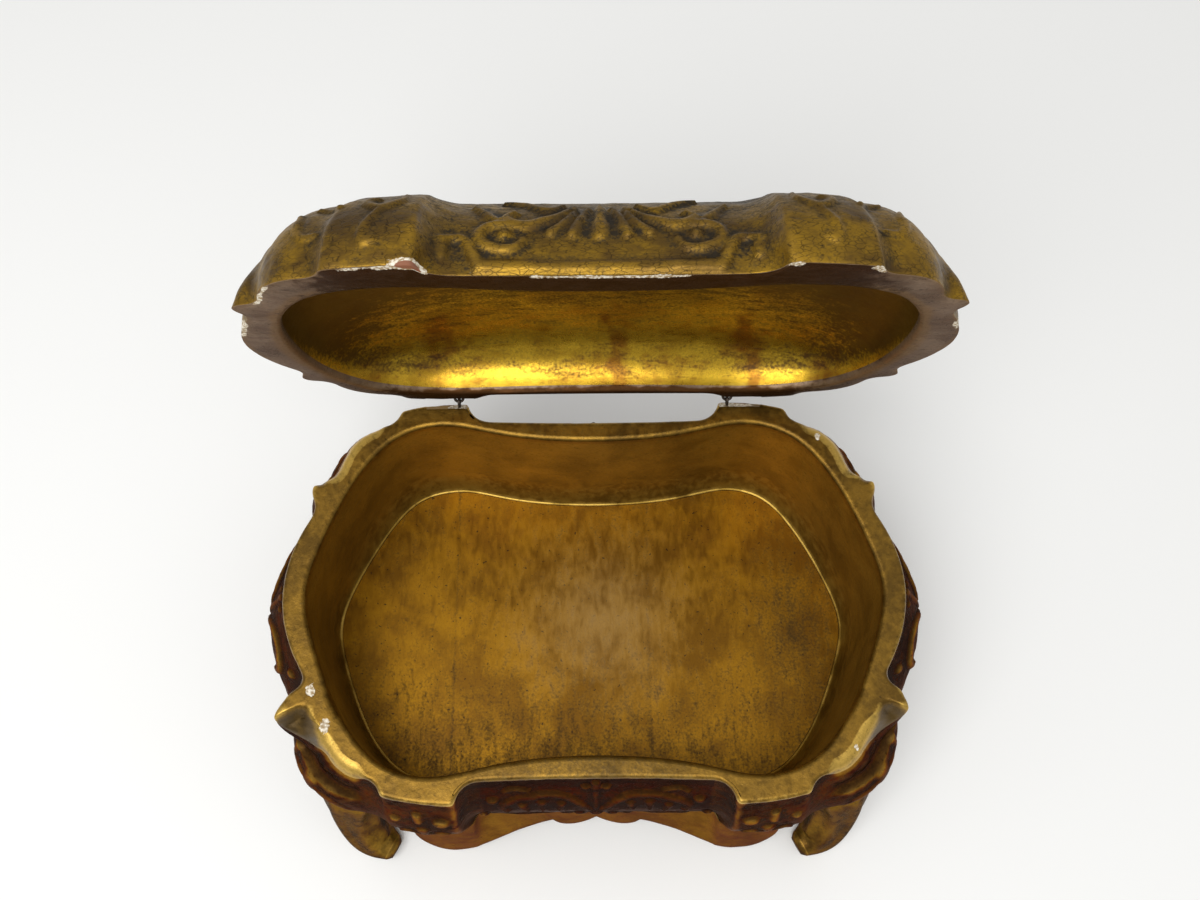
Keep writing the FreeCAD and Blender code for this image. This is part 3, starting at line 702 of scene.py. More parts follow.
wall_rows = [
    level_row(inner_line + (wall_foot_line - inner_line) * share, wall_top - wall_drop * share)
    for share in wall_shares
]
cove_rows = [
    np.hstack([wall_foot_line - inner_out * cove * t**2, floor_height + 0.5 + cove_rise * cove * (1 - t)])
    for t in np.linspace(0.12, 1, 9)
]
for out, up in ((0.3, 0.45), (0.7, 0.3), (0.9, -0.1)):
    cove_rows.append(np.hstack([wall_foot_line - inner_out * (cove + out), 0 * cove + floor_height + up]))
under_rows = [level_row(inner_line + inner_out * rebate_width, z) for z in (floor_height, base_height)]
upper = np.array(arris_rows + flat_rows + edge_rows + wall_rows + cove_rows + under_rows)
rim_count = len(arris_rows) + len(flat_rows) + len(edge_rows)
ring_points = np.concatenate([outside, upper])
row_number = np.arange(len(ring_points))[:, None]
on_outside = row_number < len(outside)
soft = 0.12 * noise(ring_points, 7.0) + 0.06 * noise(ring_points, 2.0)
soft[: len(outside)] = 0
soft[-3:] = 0
ring_points = ring_points + normals(ring_points, True) * np.minimum(soft, 0)[..., None]
print("ring of the walls", ring_points.shape[:2], "rows of the rim", rim_count)

# %% Horns: each is a ridge on the far side of a scoop, so the rim falls away between the ridge and the knee
flat_rim_width = 7.6
scoop_depth = 6.5
horn_round = 7
right_horn_share = 0.6
horn_forward_share = 0.3
end_zone_start, end_zone_full = 82, 90
ridge_place, ridge_lean = 33.0, 0.5
horn_fullness = np.array([
    (29.0, 0.0), (32.0, 0.3), (34.0, 1.0), (36.0, 2.0), (38.0, 3.0), (39.6, 4.0), (40.2, 7.0),
    (40.8, 9.0), (42.6, 9.6), (44.0, 8.0), (45.5, 6.0), (47.5, 3.2), (50.0, 1.2), (53.0, 0.0),
])
side_x, side_y = np.abs(ring_points[..., 0]), np.abs(ring_points[..., 1])
horn = ease(end_zone_start, end_zone_full, side_x) * np.interp(side_y, *horn_fullness.T)
horn = horn * (ring_points[..., 1] < 0)
horn = horn * (1 - ease(6, 24, rim_height - ring_points[..., 2])) * (row_number < len(outside) + rim_count)
horn = horn * np.where(ring_points[..., 0] < 0, 1.0, right_horn_share)
ring_points[..., 0] += horn * np.sign(ring_points[..., 0])
ring_points[..., 1] -= horn_forward_share * horn
knob = blur(ring_points, horn_round, 1, True)
ring_points = ring_points + (knob - ring_points) * ease(0.1, 1.5, horn)[..., None]
beyond_flat = np.linalg.norm(ring_points[..., :2] - inner_line, axis=-1) - flat_rim_width
side_x, side_y = np.abs(ring_points[..., 0]), np.abs(ring_points[..., 1])
ridge_y = ridge_place + ridge_lean * (side_x - end_zone_full)
scoop = ease(0, 6, beyond_flat) * ease(0.8, 4.5, side_y - ridge_y)
scoop = scoop * ease(end_zone_start, 88, side_x) * (1 - ease(47, 54, side_y))
scoop = np.where(row_number < len(outside) + rim_count, scoop, 0)
scoop[: len(outside)] = scoop[len(outside)] * (1 - ease(0, 22, depth))
ring_points[..., 2] -= scoop_depth * scoop
deepest_scoop = round(float(scoop.max() * scoop_depth), 1)
print("horns stand out by", round(float(horn.max()), 1), "scoops down to", deepest_scoop)

# %% Chamfers at the hinges
hinge_half_spacing = 48.0
chamfer_half_length = 12.0
chamfer_distance = 2.0
hinge_slope = math.radians(90 - math.degrees(opening) / 2)


def chamfered(points, into_wood, hinge_point):
    """Points at both hinges moved into the wood until none is nearer to the hinge line than the chamfer."""
    at_hinge = np.abs(np.abs(points[..., 0]) - hinge_half_spacing) < chamfer_half_length
    short = chamfer_distance - (points[..., 1:] - hinge_point) @ into_wood
    moved = np.where(at_hinge, np.maximum(short, 0), 0)
    return points + moved[..., None] * np.concatenate([[0], into_wood]), moved


ring_points[..., 1] += middle_y
hinge_point = np.array([hinge_y, hinge_z])
into_body = -np.array([math.cos(hinge_slope), math.sin(hinge_slope)])
ring_points, cut = chamfered(ring_points, into_body, hinge_point)
print("chamfers cut up to", round(float(cut.max()), 2))

# %% Marks of wear on the walls, with painted light at the foot of the inside walls
wall_wear = wear_marks(ring_points, True, 3, 0.5)
hollow, crest_and_highlight = (blur(blur(mark, 1.4, 0, True), 1.4, 1, True) for mark in wall_wear)
inside = (row_number >= len(outside) + rim_count) & (row_number < len(ring_points) - 3)
from_floor = (ring_points[..., 2] - floor_height) / (rim_height - floor_height)
on_rim = ~on_outside & ~inside
inner_edge = (row_number > len(outside) + rim_count - 8) & (row_number < len(ring_points) - 12)
crest_and_highlight = np.where(inner_edge, 0.25 * crest_and_highlight, crest_and_highlight)
crest_and_highlight = np.where(on_outside, 1.3 * crest_and_highlight, crest_and_highlight) * (1 - 0.8 * scoop)
hollow = np.where(inside, 0.3 * hollow, hollow)
# Painted light: the lower inside walls are lightened, and a painted highlight runs round the floor's edge
painted_light_low_wall = inside * np.exp(-(((ring_points[..., 2] - floor_height - 8) / 8) ** 2))
painted_floor_edge_highlight = (row_number >= len(ring_points) - 6) & (row_number < len(ring_points) - 2)
painted_floor_edge_highlight = painted_floor_edge_highlight * ease(-0.35, 0.25, noise(ring_points, 7.0))
crest_and_highlight = np.maximum(crest_and_highlight, np.maximum(0.4 * painted_light_low_wall, 0.9 * painted_floor_edge_highlight))
rubbed_roll = 0.8 * knee_zone * (1 - ease(2, 6, depth)) * (1 - scoop[: len(outside)])
crest_and_highlight[: len(outside)] = np.maximum(crest_and_highlight[: len(outside)], rubbed_roll)
dull_front = 0.5 * np.exp(-((ring_points[..., 0] / 34) ** 2)) * (ring_points[..., 1] < 0)
# Painted light low on the inside walls, which otherwise grow darker towards the rim; the middle of the front
# rim is duller and the scoops are darker
dirt_and_shade = np.where(inside, 0.12 * from_floor - 0.25 * painted_light_low_wall, np.where(on_rim, dull_front, 0))
dirt_and_shade = dirt_and_shade + 1.6 * np.where(on_rim, scoop, 0)
# The outside grows darker towards the bottom
dirt_and_shade = np.where(on_outside, 0.25 + 0.3 * (rim_height - ring_points[..., 2]) / wall_height, dirt_and_shade)
print("worn crests on a share of", round(float((crest_and_highlight > 0.5).mean()), 3))

# %% Bare gesso at the hinges and flakes on the rim
from_wire = np.abs(np.abs(ring_points[..., 0]) - hinge_half_spacing)
left_bare, right_bare = 1 - ease(2, 6, from_wire), 1 - 0.5 * ease(6, 12, from_wire)
chip = np.clip(cut, 0, 1) * np.where(ring_points[..., 0] < 0, left_bare, right_bare)
panel = 0.7 * (np.abs(ring_points[..., 0]) < 38) * on_outside * ~on_end[None]
rim_flakes = ((-93, -33, 1.9), (-87.5, -45, 2.1), (79.6, 54.7, 1.1), (83.9, -52.3, 1.0))
for x, y, size in rim_flakes:
    gap = np.hypot(ring_points[..., 0] - x, 0.7 * (ring_points[..., 1] - middle_y - y))
    flake = np.clip(1.25 - gap / size + 0.5 * noise(ring_points, 1.8), 0, 1)
    chip = np.maximum(chip, flake * (ring_points[..., 2] > rim_height - 4))
marks = {"hollow": hollow, "crest_and_highlight": crest_and_highlight, "chip": chip, "dirt_and_shade": dirt_and_shade, "bole": panel}
print("bare gesso on a share of", round(float((chip > 0.5).mean()), 4))

# %% The ring cut at the mitres; normals of the whole ring hide the cuts, as the gilding does
ring_normals = normals(ring_points, True)
starts = [int(i) for i in mitres]
names = ["right_wall", "rear_wall", "left_wall", "front_wall"]
row = row_number[:, 0]
zone = np.select([row < len(outside) - 1, row < len(outside) + rim_count], [0, 1], 2)
for k, name in enumerate(names):
    last = starts[k + 1] if k < 3 else starts[0] + columns
    run = np.arange(starts[k], last + 1) % columns
    part = ring_points[:, run]
    n_rows, n_columns = part.shape[:2]
    quads = band(n_rows, n_columns, True, False)
    loop = np.arange(n_rows) * n_columns
    caps = [loop[None], (loop + n_columns - 1)[::-1][None]]
    picks = np.concatenate([np.repeat(zone, n_columns - 1), [0, 0]])
    part_marks = {key: value[:, run] for key, value in marks.items()}
    finishes = [bronze_gilding, rim_gilding, inside_gilding]
    made = piece("carved_" + name, part, [quads] + caps, finishes, "box", [name], part_marks,
                 picks)
    made.data.normals_split_custom_set_from_vertices(ring_normals[:, run].reshape(-1, 3).tolist())

# %% [markdown]
# ## The floor
# The bottom is planks under gesso. Their joints telegraph through as fine grooves that run front to back.

# %% The bottom board
floor_angles = np.linspace(0, 2 * np.pi, 4000)
floor_grow = rebate_width - 0.3
floor_line = inner_oval(inner_quarter_shares, inner_half_length, inner_half_width, floor_angles)
upper_half = floor_line[floor_line[:, 1] > 0]
order = np.argsort(upper_half[:, 0])
floor_half_length = inner_half_length + floor_grow
floor_rows, floor_columns = 150, 280
floor_x = floor_half_length * np.sin(np.linspace(-np.pi / 2, np.pi / 2, floor_columns))
inner_x = floor_x * inner_half_length / floor_half_length
half_width = np.interp(inner_x, upper_half[order, 0], upper_half[order, 1])
half_width = half_width * (1 + floor_grow / inner_half_width)
half_width[[0, -1]] = 0.4
across = np.linspace(-1, 1, floor_rows)
top = np.stack([np.broadcast_to(floor_x, (floor_rows, floor_columns)), across[:, None] * half_width,
                np.full((floor_rows, floor_columns), floor_height)], -1)
joint_places, joint_width, joint_depth = (-54.0, -13.5, 21.0), 0.45, 0.12
groove = sum(np.exp(-((top[..., 0] - x) / joint_width) ** 2) for x in joint_places)
top[..., 2] -= joint_depth * groove + 0.08 + 0.03 * noise(top * (1, 0.25, 1), 2.4)
bottom = top[::-1].copy()
bottom[..., 2] = base_height
floor_points = np.concatenate([top, bottom])
floor_points[..., 1] += middle_y
# Painted shade along the front and back edges by the walls, and a painted reflection of the lid's bowl as
# warm light at the back. The floor also grows darker towards the front; the stain and the haze of dust are
# its own.
stain = np.exp(-((top[..., 0] - 76) / 15) ** 2 - ((top[..., 1] - 3) / 24) ** 2)
haze = np.exp(-((top[..., 0] - 4) / 42) ** 2 - ((top[..., 1] - 4) / 42) ** 2)
painted_edge_shade = np.abs(across)[:, None] ** 6 * 0.3
front_dark = 0.12 + 0.25 * ease(10, -45, top[..., 1])
painted_bowl_reflection = np.exp(-((np.abs(top[..., 0]) - 38) / 14) ** 2 - ((top[..., 1] - 38) / 12) ** 2)
top_marks = {
    "hollow": 0.35 * groove, "crest_and_highlight": 0.3 * painted_bowl_reflection, "chip": 0 * groove,
    "dirt_and_shade": 0.5 * stain + painted_edge_shade + front_dark - 0.4 * painted_bowl_reflection, "bole": 0.1 + 0.3 * painted_bowl_reflection, "dust": 0.6 * haze,
}
floor_marks = {key: np.concatenate([value, value[::-1]]) for key, value in top_marks.items()}
quads = band(2 * floor_rows, floor_columns, True, False)
loop = np.arange(2 * floor_rows) * floor_columns
floor_faces = [quads, loop[None], (loop + floor_columns - 1)[::-1][None]]
piece("gilded_floor", floor_points, floor_faces, [floor_gilding], "box", ["bottom_board"],
      floor_marks)

# %% [markdown]
# ## The lid
# The lid is one block, hollowed inside and domed outside. Its rows start at the deepest part of the bowl,
# come out over the rim and climb the dome, so the whole lid is one closed surface. It is made closed and
# then turned open about the hinge line.

# %% The carving on the dome, on a chart of distance from the middle and arc length up from the rim
dome_strokes = mirrored_strokes([
    (1.8, [(0, 28), (0, 20), (0, 13.3)], [1.0, 1.7, 2.3]),
    (1.5, [(3, 26), (5, 20), (7, 13.4)], [0.8, 1.4, 1.8]),
    (1.5, [(6, 26), (8.5, 19), (12.5, 14)], [0.8, 1.4, 1.8]),
    (1.7, [(6.5, 26.7), (11, 20.9), (15.5, 18.3), (20, 17), (24, 19.5), (22, 23)],
     [0.8, 1.5, 2.0, 2.2, 1.8, 1.2]),
    (1.4, [(9.5, 28.5), (12.5, 26), (16, 27), (20, 31), (25, 33)], [0.9, 1.7, 1.9, 1.6, 0.8]),
    (1.3, [(32.5, 28), (28.3, 21.3), (26.1, 18.5)], [0.9, 1.7, 1.3]),
    (1.7, [(23.4, 16.9), (28.3, 16.4), (30.6, 13.2), (30.1, 10.6),
           (27.9, 9), (23.6, 8.1), (20.6, 9.3), (19.5, 11.4)],
     [1.4, 1.6, 1.7, 1.7, 1.6, 1.5, 1.3, 1.2]),
    (1.5, [(24.2, 13.1)], [1.8]),
    (1.6, [(0, 2.6), (16, 2.6), (30, 2.9)], [2.1, 2.1, 2.0]),
    (1.5, [(31, 4.5), (33, 9.5), (35.5, 11.7), (40, 11)], [1.8, 1.7, 1.6, 1.2]),
    (1.2, [(39.2, 11), (39, 5.5)], [1.3, 1.0]),
    (1.1, [(49.3, 29), (49.6, 25.5), (51.2, 22.5), (54.3, 20.3),
           (56.8, 21.2), (58.3, 23.2), (57.6, 25.6), (56, 26)],
     [1.0, 1.4, 1.6, 1.8, 1.7, 1.5, 1.3, 1.2]),
    (1.1, [(54.4, 19.4), (56.6, 15), (58, 11), (57.8, 7.4), (55.6, 8)], [0.9, 1.1, 1.3, 1.7, 1.5]),
    (1.0, [(72.5, 26.5), (69, 25), (66, 23)], [1.0, 1.5, 1.1]),
    (1.0, [(78, 24), (77.3, 20.3), (77.5, 16.8), (76.3, 13.5), (74.3, 12.1), (71.5, 12.6)],
     [1.0, 1.4, 1.5, 1.5, 1.4, 1.1]),
])

# %% How the lid closes towards its top
dome_power, bowl_power = 2.2, 2.6
bowl_set_back = 3.0
bowl_front_flat = 2.5
dome_relief_share = 0.75
lid_fading = np.array([(0, 0.45), (0.16, 0.65), (0.40, 1.0), (1.0, 1.0)])
ridge_share = carved_quarter_shares[2, 0]
recess_share = carved_quarter_shares[0, 0]
# Equal, even counts of columns in front and behind, so that they pair up across the middle
lid_counts = column_counts(lid_spacing)
lid_counts = np.maximum(lid_counts, lid_counts[(14 - np.arange(32)) % 32])
lid_counts = 2 * np.ceil(lid_counts / 2).astype(int)


def lid_place(height_share):
    """Place on the dome at a share of its height: the sides close in and the ends come in to the ridge."""
    closing = max(1 - height_share**dome_power, 0) ** (1 / dome_power)
    end_x = rim_half_length - lid_end_inset * (1 - closing)
    ridge_x = ridge_share * rim_half_length
    recess = lid_recess_depth * min(height_share / 0.3, 1)

    def place(shares, swells):
        x = shares[:, 0] * rim_half_length
        beyond = ridge_x + (shares[:, 0] - ridge_share) / (1 - ridge_share) * (end_x - ridge_x)
        x = np.where(shares[:, 0] > ridge_share, beyond, x)
        y = shares[:, 1] * rim_half_width - np.where(shares[:, 0] <= recess_share, recess, 0)
        return np.column_stack([x, y * closing])
    return place


# %% The dome, with its rows spaced by arc length along a profile
profile_half_width, carved_reach = 60, 37
profile = np.linspace(0, np.pi / 2, 4000)
profile_y = profile_half_width * np.cos(profile) ** (2 / dome_power)
profile_z = lid_height * np.sin(profile) ** (2 / dome_power)
profile_s = np.concatenate([[0], np.cumsum(np.hypot(np.diff(profile_y), np.diff(profile_z)))])
lip_s, carved_s = [0.35, 0.75, 1.2], np.arange(1.8, carved_reach, 0.66)
crown_s = np.linspace(carved_reach, profile_s[-1] - 1.6, 22)[1:]
row_s = np.concatenate([lip_s, carved_s, crown_s])
climb = np.interp(row_s, profile_s, profile)
shares_up = np.sin(climb) ** (2 / dome_power)
rings = np.array([plan_ring(lid_place(h), np.interp(h, *lid_fading.T)) for h in shares_up])
dome_line = blur(along_arcs(rings, lid_counts), 1.2, 1, True)
lid_columns = dome_line.shape[1]
dome_heights = (lid_bottom + shares_up * lid_height)[:, None]
dome = np.dstack([dome_line, np.broadcast_to(dome_heights, dome_line.shape[:2])])
arc_up = np.broadcast_to(row_s[:, None], dome.shape[:2])
relief = dome_relief_share * carve(dome[..., 0], arc_up, dome_strokes)
relief = relief + 0.22 * noise(dome, 5.0) + 0.1 * noise(dome, 1.9)
dome = dome + normals(dome, False) * (relief * np.clip(arc_up / 1.5, 0, 1))[..., None]
print("dome", dome.shape[:2], "highest relief", round(float(relief.max()), 2))

# %% The bowl and the rim of the lid
lid_outer = dome_line[0]
bowl_angles = facing_angles(lid_outer)
bowl_half_length, bowl_half_width = rim_half_length - lid_end_rim_width, rim_half_width - lid_side_rim_width
bowl_line = inner_oval(bowl_quarter_shares, bowl_half_length, bowl_half_width, bowl_angles)
deep = np.sin(np.radians(np.linspace(88, 3, 24))) ** (2 / bowl_power)
closing = (1 - deep**bowl_power) ** (1 / bowl_power)
on_front_half = ease(10, -30, bowl_line[:, 1])
bowl_line[:, 1] += bowl_set_back + bowl_front_flat * on_front_half * np.exp(-((bowl_line[:, 0] / 45) ** 2))
bowl_centre = np.array([0, bowl_set_back])
rows = [
    level_row(bowl_centre + (bowl_line - bowl_centre) * c, lid_bottom + d * lid_bowl_depth)
    for c, d in zip(closing, deep)
]
lid_out = normals(dome, False)[0, :, :2]
lid_out = lid_out / np.linalg.norm(lid_out, axis=-1, keepdims=True)
lip = lid_outer - lid_out * 0.8
for share in np.linspace(0, 1, 9):
    drop = 0.5 * (1 - share) ** 8 + 0.4 * share**10
    rows.append(level_row(bowl_line * 1.002 + (lip - bowl_line * 1.002) * share, lid_bottom + drop))
bowl = np.array(rows)
wobble = 0.12 * noise(bowl, 9.0) + 0.05 * noise(bowl, 2.2)
bowl = bowl + normals(bowl, False) * np.minimum(wobble, 0)[..., None]
lid_points = np.concatenate([bowl, dome])
print("lid surface", lid_points.shape[:2])

# %% Marks of wear on the lid, with painted shade and light in the bowl
lid_wear = wear_marks(lid_points, False, 3, 0.6)
hollow, crest_and_highlight = (blur(blur(mark, 1.0, 0, False), 1.0, 1, True) for mark in lid_wear)
n_bowl = len(closing)
row_number = np.arange(len(lid_points))[:, None]
on_dome = row_number >= len(bowl)
arc_all = np.concatenate([np.zeros(bowl.shape[:2]), arc_up])
dirt_and_shade = np.where(on_dome, 0.12 + 0.5 * np.clip((arc_all - 16) / 22, 0, 1), 0.35)
# Painted dark reflection and shade on the upper part of the open bowl, and painted light towards the hinge
dirt_and_shade = np.where(row_number < n_bowl, np.clip(0.75 - lid_points[..., 1] / 45, -0.3, 1.2), dirt_and_shade)
bole = np.where(row_number < n_bowl, 0.1 + 0.3 * noise(lid_points, 26.0), 0)
blotches = 0.8 * ease(18, 44, lid_points[..., 1]) * ease(-0.7, 0.5, noise(lid_points * (1, 0.5, 1), 6.0))
red_places = ((-52, 9), (5, 6), (52, 8))
for x, breadth in red_places:
    rubbed_red = blotches * np.exp(-(((lid_points[..., 0] - x) / breadth) ** 2))
    bole = np.where(row_number < n_bowl, np.maximum(bole, rubbed_red), bole)
on_lid_rim = ~on_dome & (row_number >= n_bowl)
bole = np.where(on_lid_rim, 1.1 * (1 - ease(50, 88, np.abs(lid_points[..., 0]))), bole)
print("worn crests on a share of", round(float((crest_and_highlight > 0.5).mean()), 3))

# %% Chips along the front edge of the lid
lid_x = lid_points[..., 0]
ragged = noise(lid_points, 3.2)
on_front = (lid_points[..., 1] < 0) & (row_number >= len(bowl) - 1)
chip = np.zeros(lid_points.shape[:2])
edge_chips = ((-17, 23, 0.6), (-64, -50, 0.4), (-92, -84, 0.6), (45, 49, 0.7), (66, 70, 0.6))
for low, high, reach in edge_chips:
    along_edge = ease(low - 2, low + 2, lid_x) * (1 - ease(high - 2, high + 2, lid_x))
    chip = np.maximum(chip, on_front * along_edge * np.clip(1.0 - arc_all / reach + 0.5 * ragged, 0, 1))
spot = 3.2 * np.exp(-(((lid_x + 46.5) / 3.0) ** 2) - (arc_all / 1.7) ** 2) + 0.2 * ragged
chip = np.maximum(chip, spot * on_front)
tip = np.exp(-(((np.abs(lid_x) - 101) / 2.2) ** 2) - (arc_all / 2.5) ** 2)
chip = np.maximum(chip, on_front * np.clip(0.9 * tip + 0.4 * ragged * (tip > 0.2), 0, 1))
print("bare gesso on a share of", round(float((chip > 0.5).mean()), 4))

# %% The lid turned open about the hinge line
lid_points[..., 0] += lid_sideways
lid_points[..., 1] += middle_y
into_lid = np.array([-math.cos(hinge_slope), math.sin(hinge_slope)])
lid_points, cut = chamfered(lid_points, into_lid, hinge_point)
chip = np.maximum(chip, np.clip(cut, 0, 0.6))
arm = lid_points[..., 1:] - hinge_point
cosine, sine = math.cos(opening), -math.sin(opening)
lid_points[..., 1] = hinge_y + arm[..., 0] * cosine - arm[..., 1] * sine
lid_points[..., 2] = hinge_z + arm[..., 0] * sine + arm[..., 1] * cosine
lid_marks = {"hollow": hollow, "crest_and_highlight": crest_and_highlight, "chip": chip, "dirt_and_shade": dirt_and_shade, "bole": bole}

# %% Faces of the lid; strips of quads between paired columns close its crown and the middle of its bowl
n_rows = len(lid_points)
quads = band(n_rows, lid_columns, False, True)
turning = int(lid_counts[:15].sum())
steps = np.arange(1, lid_columns // 2)
one, other = (turning // 2 + steps) % lid_columns, (turning // 2 - steps) % lid_columns
strip = np.column_stack([one[:-1], one[1:], other[1:], other[:-1]])
tips = np.array([
    [turning // 2 % lid_columns, one[0], other[0]],
    [one[-1], (turning // 2 + lid_columns // 2) % lid_columns, other[-1]],
])
top_offset = (n_rows - 1) * lid_columns
faces = [quads, strip + top_offset, tips + top_offset, strip[:, ::-1], tips[:, ::-1]]
quad_row = np.repeat(np.arange(n_rows - 1), lid_columns)
kind = np.where(quad_row < n_bowl - 1, 1, np.where(quad_row < len(bowl), 2, 0))
n_strip = len(strip) + len(tips)
picks = np.concatenate([kind, np.zeros(n_strip), np.ones(n_strip)])
piece("carved_lid", lid_points, faces, [dome_gilding, bowl_gilding, toned_rim], "lid", ["lid"],
      lid_marks, picks)

# %% [markdown]
# ## Feet and aprons
# A foot is an oval section carried down a bent path from the corner knee to the toe, with leaf ribs along it.
# An apron is a thin board that flares outwards, with a scalloped lower edge.

# %% The feet
foot_section_shares = np.array([
    (-0.47, 0.00, 0.94, 0.96, 0.72), (-0.32, 0.00, 0.77, 0.94, 0.98), (-0.06, 0.18, 0.46, 0.76, 0.90),
    (0.10, 0.58, 0.15, 0.60, 0.80), (0.02, 1.00, 0.075, 0.38, 0.50),
])
foot_width, foot_depth, foot_seat_height, toe_turn = 26.0, 20.0, 52.0, 22.0
foot_rows, foot_columns = 72, 96
rib_count, rib_share = 7, 0.055
toe_round, toe_end_share = 1.6, 0.7
knee_row = carved_quarter_shares[7] * (rim_half_length, rim_half_width)
diagonal = np.array([1, 1, 0]) / math.sqrt(2)
crosswise = np.array([1, -1, 0]) / math.sqrt(2)
foot_corners = {"front_left": (-1, -1), "front_right": (1, -1), "rear_left": (-1, 1), "rear_right": (1, 1)}
for name, signs in foot_corners.items():
    knee = knee_row + swell_shares[7] * belly_swell * (rear_swell_share if signs[1] > 0 else 1)
    table = spline(np.arange(5), foot_section_shares, np.linspace(0, 4, foot_rows))
    outward = np.outer(table[:, 0] * foot_depth, diagonal)
    turned = np.outer(table[:, 1] * toe_turn, crosswise)
    centres = np.append(knee, 0) + outward - turned
    centres[:, 2] += table[:, 2] * foot_seat_height
    along = np.gradient(centres, axis=0)
    along /= np.linalg.norm(along, axis=-1, keepdims=True)
    across = np.cross(along, diagonal)
    across /= np.linalg.norm(across, axis=-1, keepdims=True)
    outwards = np.cross(across, along)
    angle = np.linspace(0, 2 * np.pi, foot_columns, endpoint=False)
    rib_fading = np.sin(np.linspace(0, np.pi, foot_rows))[:, None]
    ribbed = 1 + rib_share * np.cos(rib_count * angle)[None] * rib_fading
    wide = (table[:, 3] * foot_width / 2)[:, None] * np.cos(angle) * ribbed
    high = (table[:, 4] * foot_depth / 2)[:, None] * np.sin(angle) * ribbed
    skin = centres[:, None] + across[:, None] * wide[..., None] + outwards[:, None] * high[..., None]
    toe_middle = centres[-1] + along[-1] * toe_round
    end = toe_middle + (skin[-1:] - centres[-1]) * toe_end_share
    skin = np.concatenate([skin, end])
    skin[..., 2] = np.maximum(skin[..., 2], 0)
    skin[..., :2] *= signs
    skin[..., 1] += middle_y
    if signs[0] * signs[1] > 0:
        skin = skin[:, ::-1]
    n_rows, n_columns = skin.shape[:2]
    hollow, crest_and_highlight = wear_marks(skin, False, 2, 0.35)
    plain = np.zeros_like(hollow)
    foot_marks = {"hollow": hollow, "crest_and_highlight": crest_and_highlight, "chip": plain, "dirt_and_shade": plain + 0.2, "bole": plain + 0.3}
    quads = band(n_rows, n_columns, False, True)
    caps = [np.arange(n_columns)[::-1][None], (np.arange(n_columns) + (n_rows - 1) * n_columns)[None]]
    node = name + "_foot"
    piece("carved_" + node, skin, [quads] + caps, [foot_gilding], "box", [node], foot_marks)

# %% The aprons
apron_thickness, apron_drop, apron_flare = 5.0, 23.0, 8.0
long_apron_columns, short_apron_columns = 260, 150
short_apron_share = 0.485
serpentine_shares = np.array([
    (0, 0.885), (0.260, 0.915), (0.352, 0.955), (0.430, 0.985), (0.543, 0.995), (0.653, 0.960),
])
long_scallop_shares = np.array([(0, 0.54), (0.14, 0.82), (0.24, 0.62), (0.78, 0.99), (1.0, 0.62)])
short_scallop_shares = np.array([(0, 0.45), (0.40, 0.90), (1.0, 0.40)])
base_line = outline[0]


def scallop_drop(shares, at):
    """Drop of a scalloped edge at shares of its half length: parabolas through every three points."""
    t = np.linspace(0, 1, 200)[:, None]
    arcs = [
        (1 - t) * (1 - 2 * t) * shares[i] + 4 * t * (1 - t) * shares[i + 1] + t * (2 * t - 1) * shares[i + 2]
        for i in range(0, len(shares) - 2, 2)
    ]
    line = np.vstack(arcs)
    return np.interp(np.abs(at), line[:, 0], line[:, 1])


def apron_board(name, at, upper, lower, shares, outward_axis, sign):
    """Thin flared board: its outside runs from upper at the wall to lower; every column is a closed loop."""
    half = np.abs(at).max()
    drop = scallop_drop(shares, at / half)
    down = np.concatenate([np.linspace(0, 1, 24), [1.012]])[:, None]
    outer = upper + (lower + apron_flare - upper) * down * drop
    z = base_height - apron_drop * down * drop
    edge = np.where(down > 0.999, 0.8, 0.0)
    front_face = np.stack([np.broadcast_to(at, outer.shape), outer - edge, z], -1)
    back_face = front_face[::-1] - np.array([0, 1, 0]) * (apron_thickness - 2 * edge[::-1, :, None])
    loop_points = np.concatenate([front_face, back_face])
    relief = 0.15 * noise(loop_points, 5.0)
    loop_points[..., 1] += relief
    points = loop_points.copy()
    if outward_axis == 1:
        points[..., 1] = loop_points[..., 1] * sign
        flipped = sign < 0
    else:
        points[..., 0], points[..., 1] = loop_points[..., 1] * sign, loop_points[..., 0]
        flipped = sign > 0
    points[..., 1] += middle_y
    if not flipped:
        points = points[:, ::-1]
    n_rows, n_columns = points.shape[:2]
    quads = band(n_rows, n_columns, True, False)[:, ::-1]
    loop = np.arange(n_rows) * n_columns
    hollow = np.zeros((n_rows, n_columns))
    edge_crest = np.concatenate([np.clip((down - 0.9) / 0.1, 0, 1), np.clip((down[::-1] - 0.9) / 0.1, 0, 1)])
    board_marks = {
        "hollow": hollow, "crest_and_highlight": hollow + edge_crest * 0.7, "chip": hollow,
        "dirt_and_shade": hollow + 0.15, "bole": hollow + 0.2,
    }
    faces = [quads, loop[::-1][None], (loop + n_columns - 1)[None]]
    piece("carved_" + name, points, faces, [copper_gilding], "box", [name], board_marks)


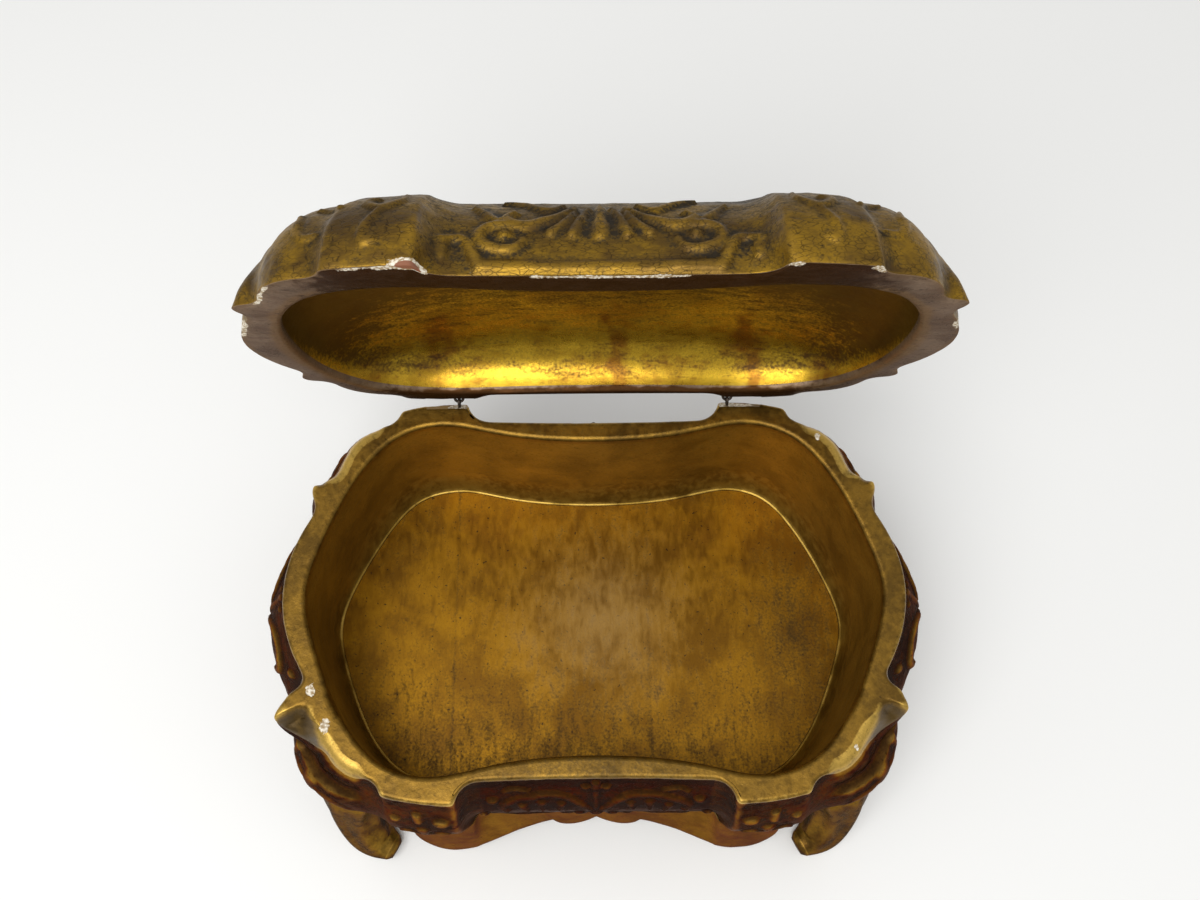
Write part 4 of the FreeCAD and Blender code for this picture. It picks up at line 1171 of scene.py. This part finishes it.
for name, sign in (("front_apron", -1), ("rear_apron", 1)):
    swell = belly_swell * level_swell_shares[-1] * (rear_swell_share if sign > 0 else 1)
    side = base_line[(base_line[:, 1] * sign > 0)]
    side = side[np.argsort(side[:, 0])]
    reach = carved_quarter_shares[4, 0] * rim_half_length + swell_shares[4, 0] * swell
    at = np.linspace(-reach, reach, long_apron_columns)
    upper = np.interp(at, side[:, 0], side[:, 1] * sign)
    line_x, line_y = (serpentine_shares * (rim_half_length, rim_half_width)).T
    lower = spline(line_x, line_y, np.abs(at)) + swell_shares[0, 1] * swell
    apron_board(name, at, upper, lower, long_scallop_shares, 1, sign)
for name, sign in (("left_apron", -1), ("right_apron", 1)):
    side = base_line[(base_line[:, 0] * sign > 0)]
    side = side[np.argsort(side[:, 1])]
    reach = short_apron_share * rim_half_width
    at = np.linspace(-reach, reach, short_apron_columns)
    upper = np.interp(at, side[:, 1], side[:, 0] * sign)
    apron_board(name, at, upper, upper, short_scallop_shares, 0, sign)

# %% [markdown]
# ## Wire eyes and dowels
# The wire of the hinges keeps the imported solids, with an iron finish. The dowels are bare wood.

# %% Iron and bare wood
def plain_material(name, light, dark, size, metallic, roughness):
    """Two tones of one noise, for small parts."""
    material = bpy.data.materials.new(name)
    material.use_nodes = True
    tree = material.node_tree
    tree.nodes.clear()
    place = add(tree, "TexCoord", {}, "Object")
    value = add(tree, "TexNoise", {"Vector": place, "Scale": 1 / (size * MM), "Detail": 4.0})
    colour = add(tree, "Mix", {0: value, 6: linear(dark), 7: linear(light)}, 2, data_type="RGBA")
    bump = add(tree, "Bump", {"Height": value, "Strength": 0.3, "Distance": 0.1 * MM})
    inputs = {"Base Color": colour, "Metallic": metallic, "Roughness": roughness, "Normal": bump}
    add(tree, "OutputMaterial", {"Surface": add(tree, "BsdfPrincipled", inputs)})
    return material


# Iron wire: dark drawn wire with a dull shine
iron_wire = plain_material("iron_wire", "#5a5048", "#2c2622", 1.2, 0.9, 0.45)
# Bare wood of the hidden dowels
bare_wood = plain_material("bare_wood", "#b48a5a", "#8a6238", 2.5, 0.0, 0.6)
for node, material in [("foot_dowels", bare_wood)] + [
    (kind + "_eye_" + side, iron_wire) for kind in ("body", "lid") for side in ("left", "right")
]:
    cad = bpy.data.objects[node]
    cad.data.materials.clear()
    cad.data.materials.append(material)

# %% [markdown]
# ## Camera, table and light
# The camera stands in front and looks steeply down, where the photograph's lines of sight meet. The table is
# a plain pale sheet, and the light is a large soft lamp from the upper left with an even white sky.

# %% Camera
camera = bpy.data.objects.new("camera", bpy.data.cameras.new("camera"))
camera.location = (1.14 * MM, (middle_y - 91.99) * MM, (rim_height + 373.07) * MM)
camera.rotation_euler = (math.radians(20.8918), 0, math.radians(-0.4677))
camera.data.lens = 33.94
camera.data.sensor_width = 36
camera.data.sensor_fit = "HORIZONTAL"
bpy.context.scene.collection.objects.link(camera)
bpy.context.scene.camera = camera

# %% Table and light
table_mesh = bpy.data.meshes.new("table")
half = 1.6
sheet_corners = [(-half, -half, 0), (half, -half, 0), (half, half, 0), (-half, half, 0)]
table_mesh.from_pydata(sheet_corners, [], [(0, 1, 2, 3)])
table = bpy.data.objects.new("table", table_mesh)
bpy.context.scene.collection.objects.link(table)
table_mesh.materials.append(plain_material("table_sheet", "#f2f2f0", "#eeeeec", 400.0, 0.0, 0.7))
lamp = bpy.data.objects.new("lamp", bpy.data.lights.new("lamp", "AREA"))
lamp.data.shape = "RECTANGLE"
lamp.data.energy = 8.0
lamp.data.size = 0.7
lamp.data.size_y = 0.8
lamp.location = (-0.25, -0.42, 1.0)
lamp.rotation_euler = (-lamp.location).to_track_quat("-Z", "Y").to_euler()
bpy.context.scene.collection.objects.link(lamp)
world = bpy.data.worlds.new("world")
bpy.context.scene.world = world
world.use_nodes = True
sky = world.node_tree
direction = add(sky, "SeparateXYZ", {0: add(sky, "TexCoord", {}, "Generated")}, 2)
inputs = {"Value": direction, "From Min": 0.0, "From Max": 0.9, "To Min": 0.35, "To Max": 0.75}
sky.links.new(add(sky, "MapRange", inputs), sky.nodes["Background"].inputs["Color"])
bpy.context.scene.view_settings.view_transform = "Standard"
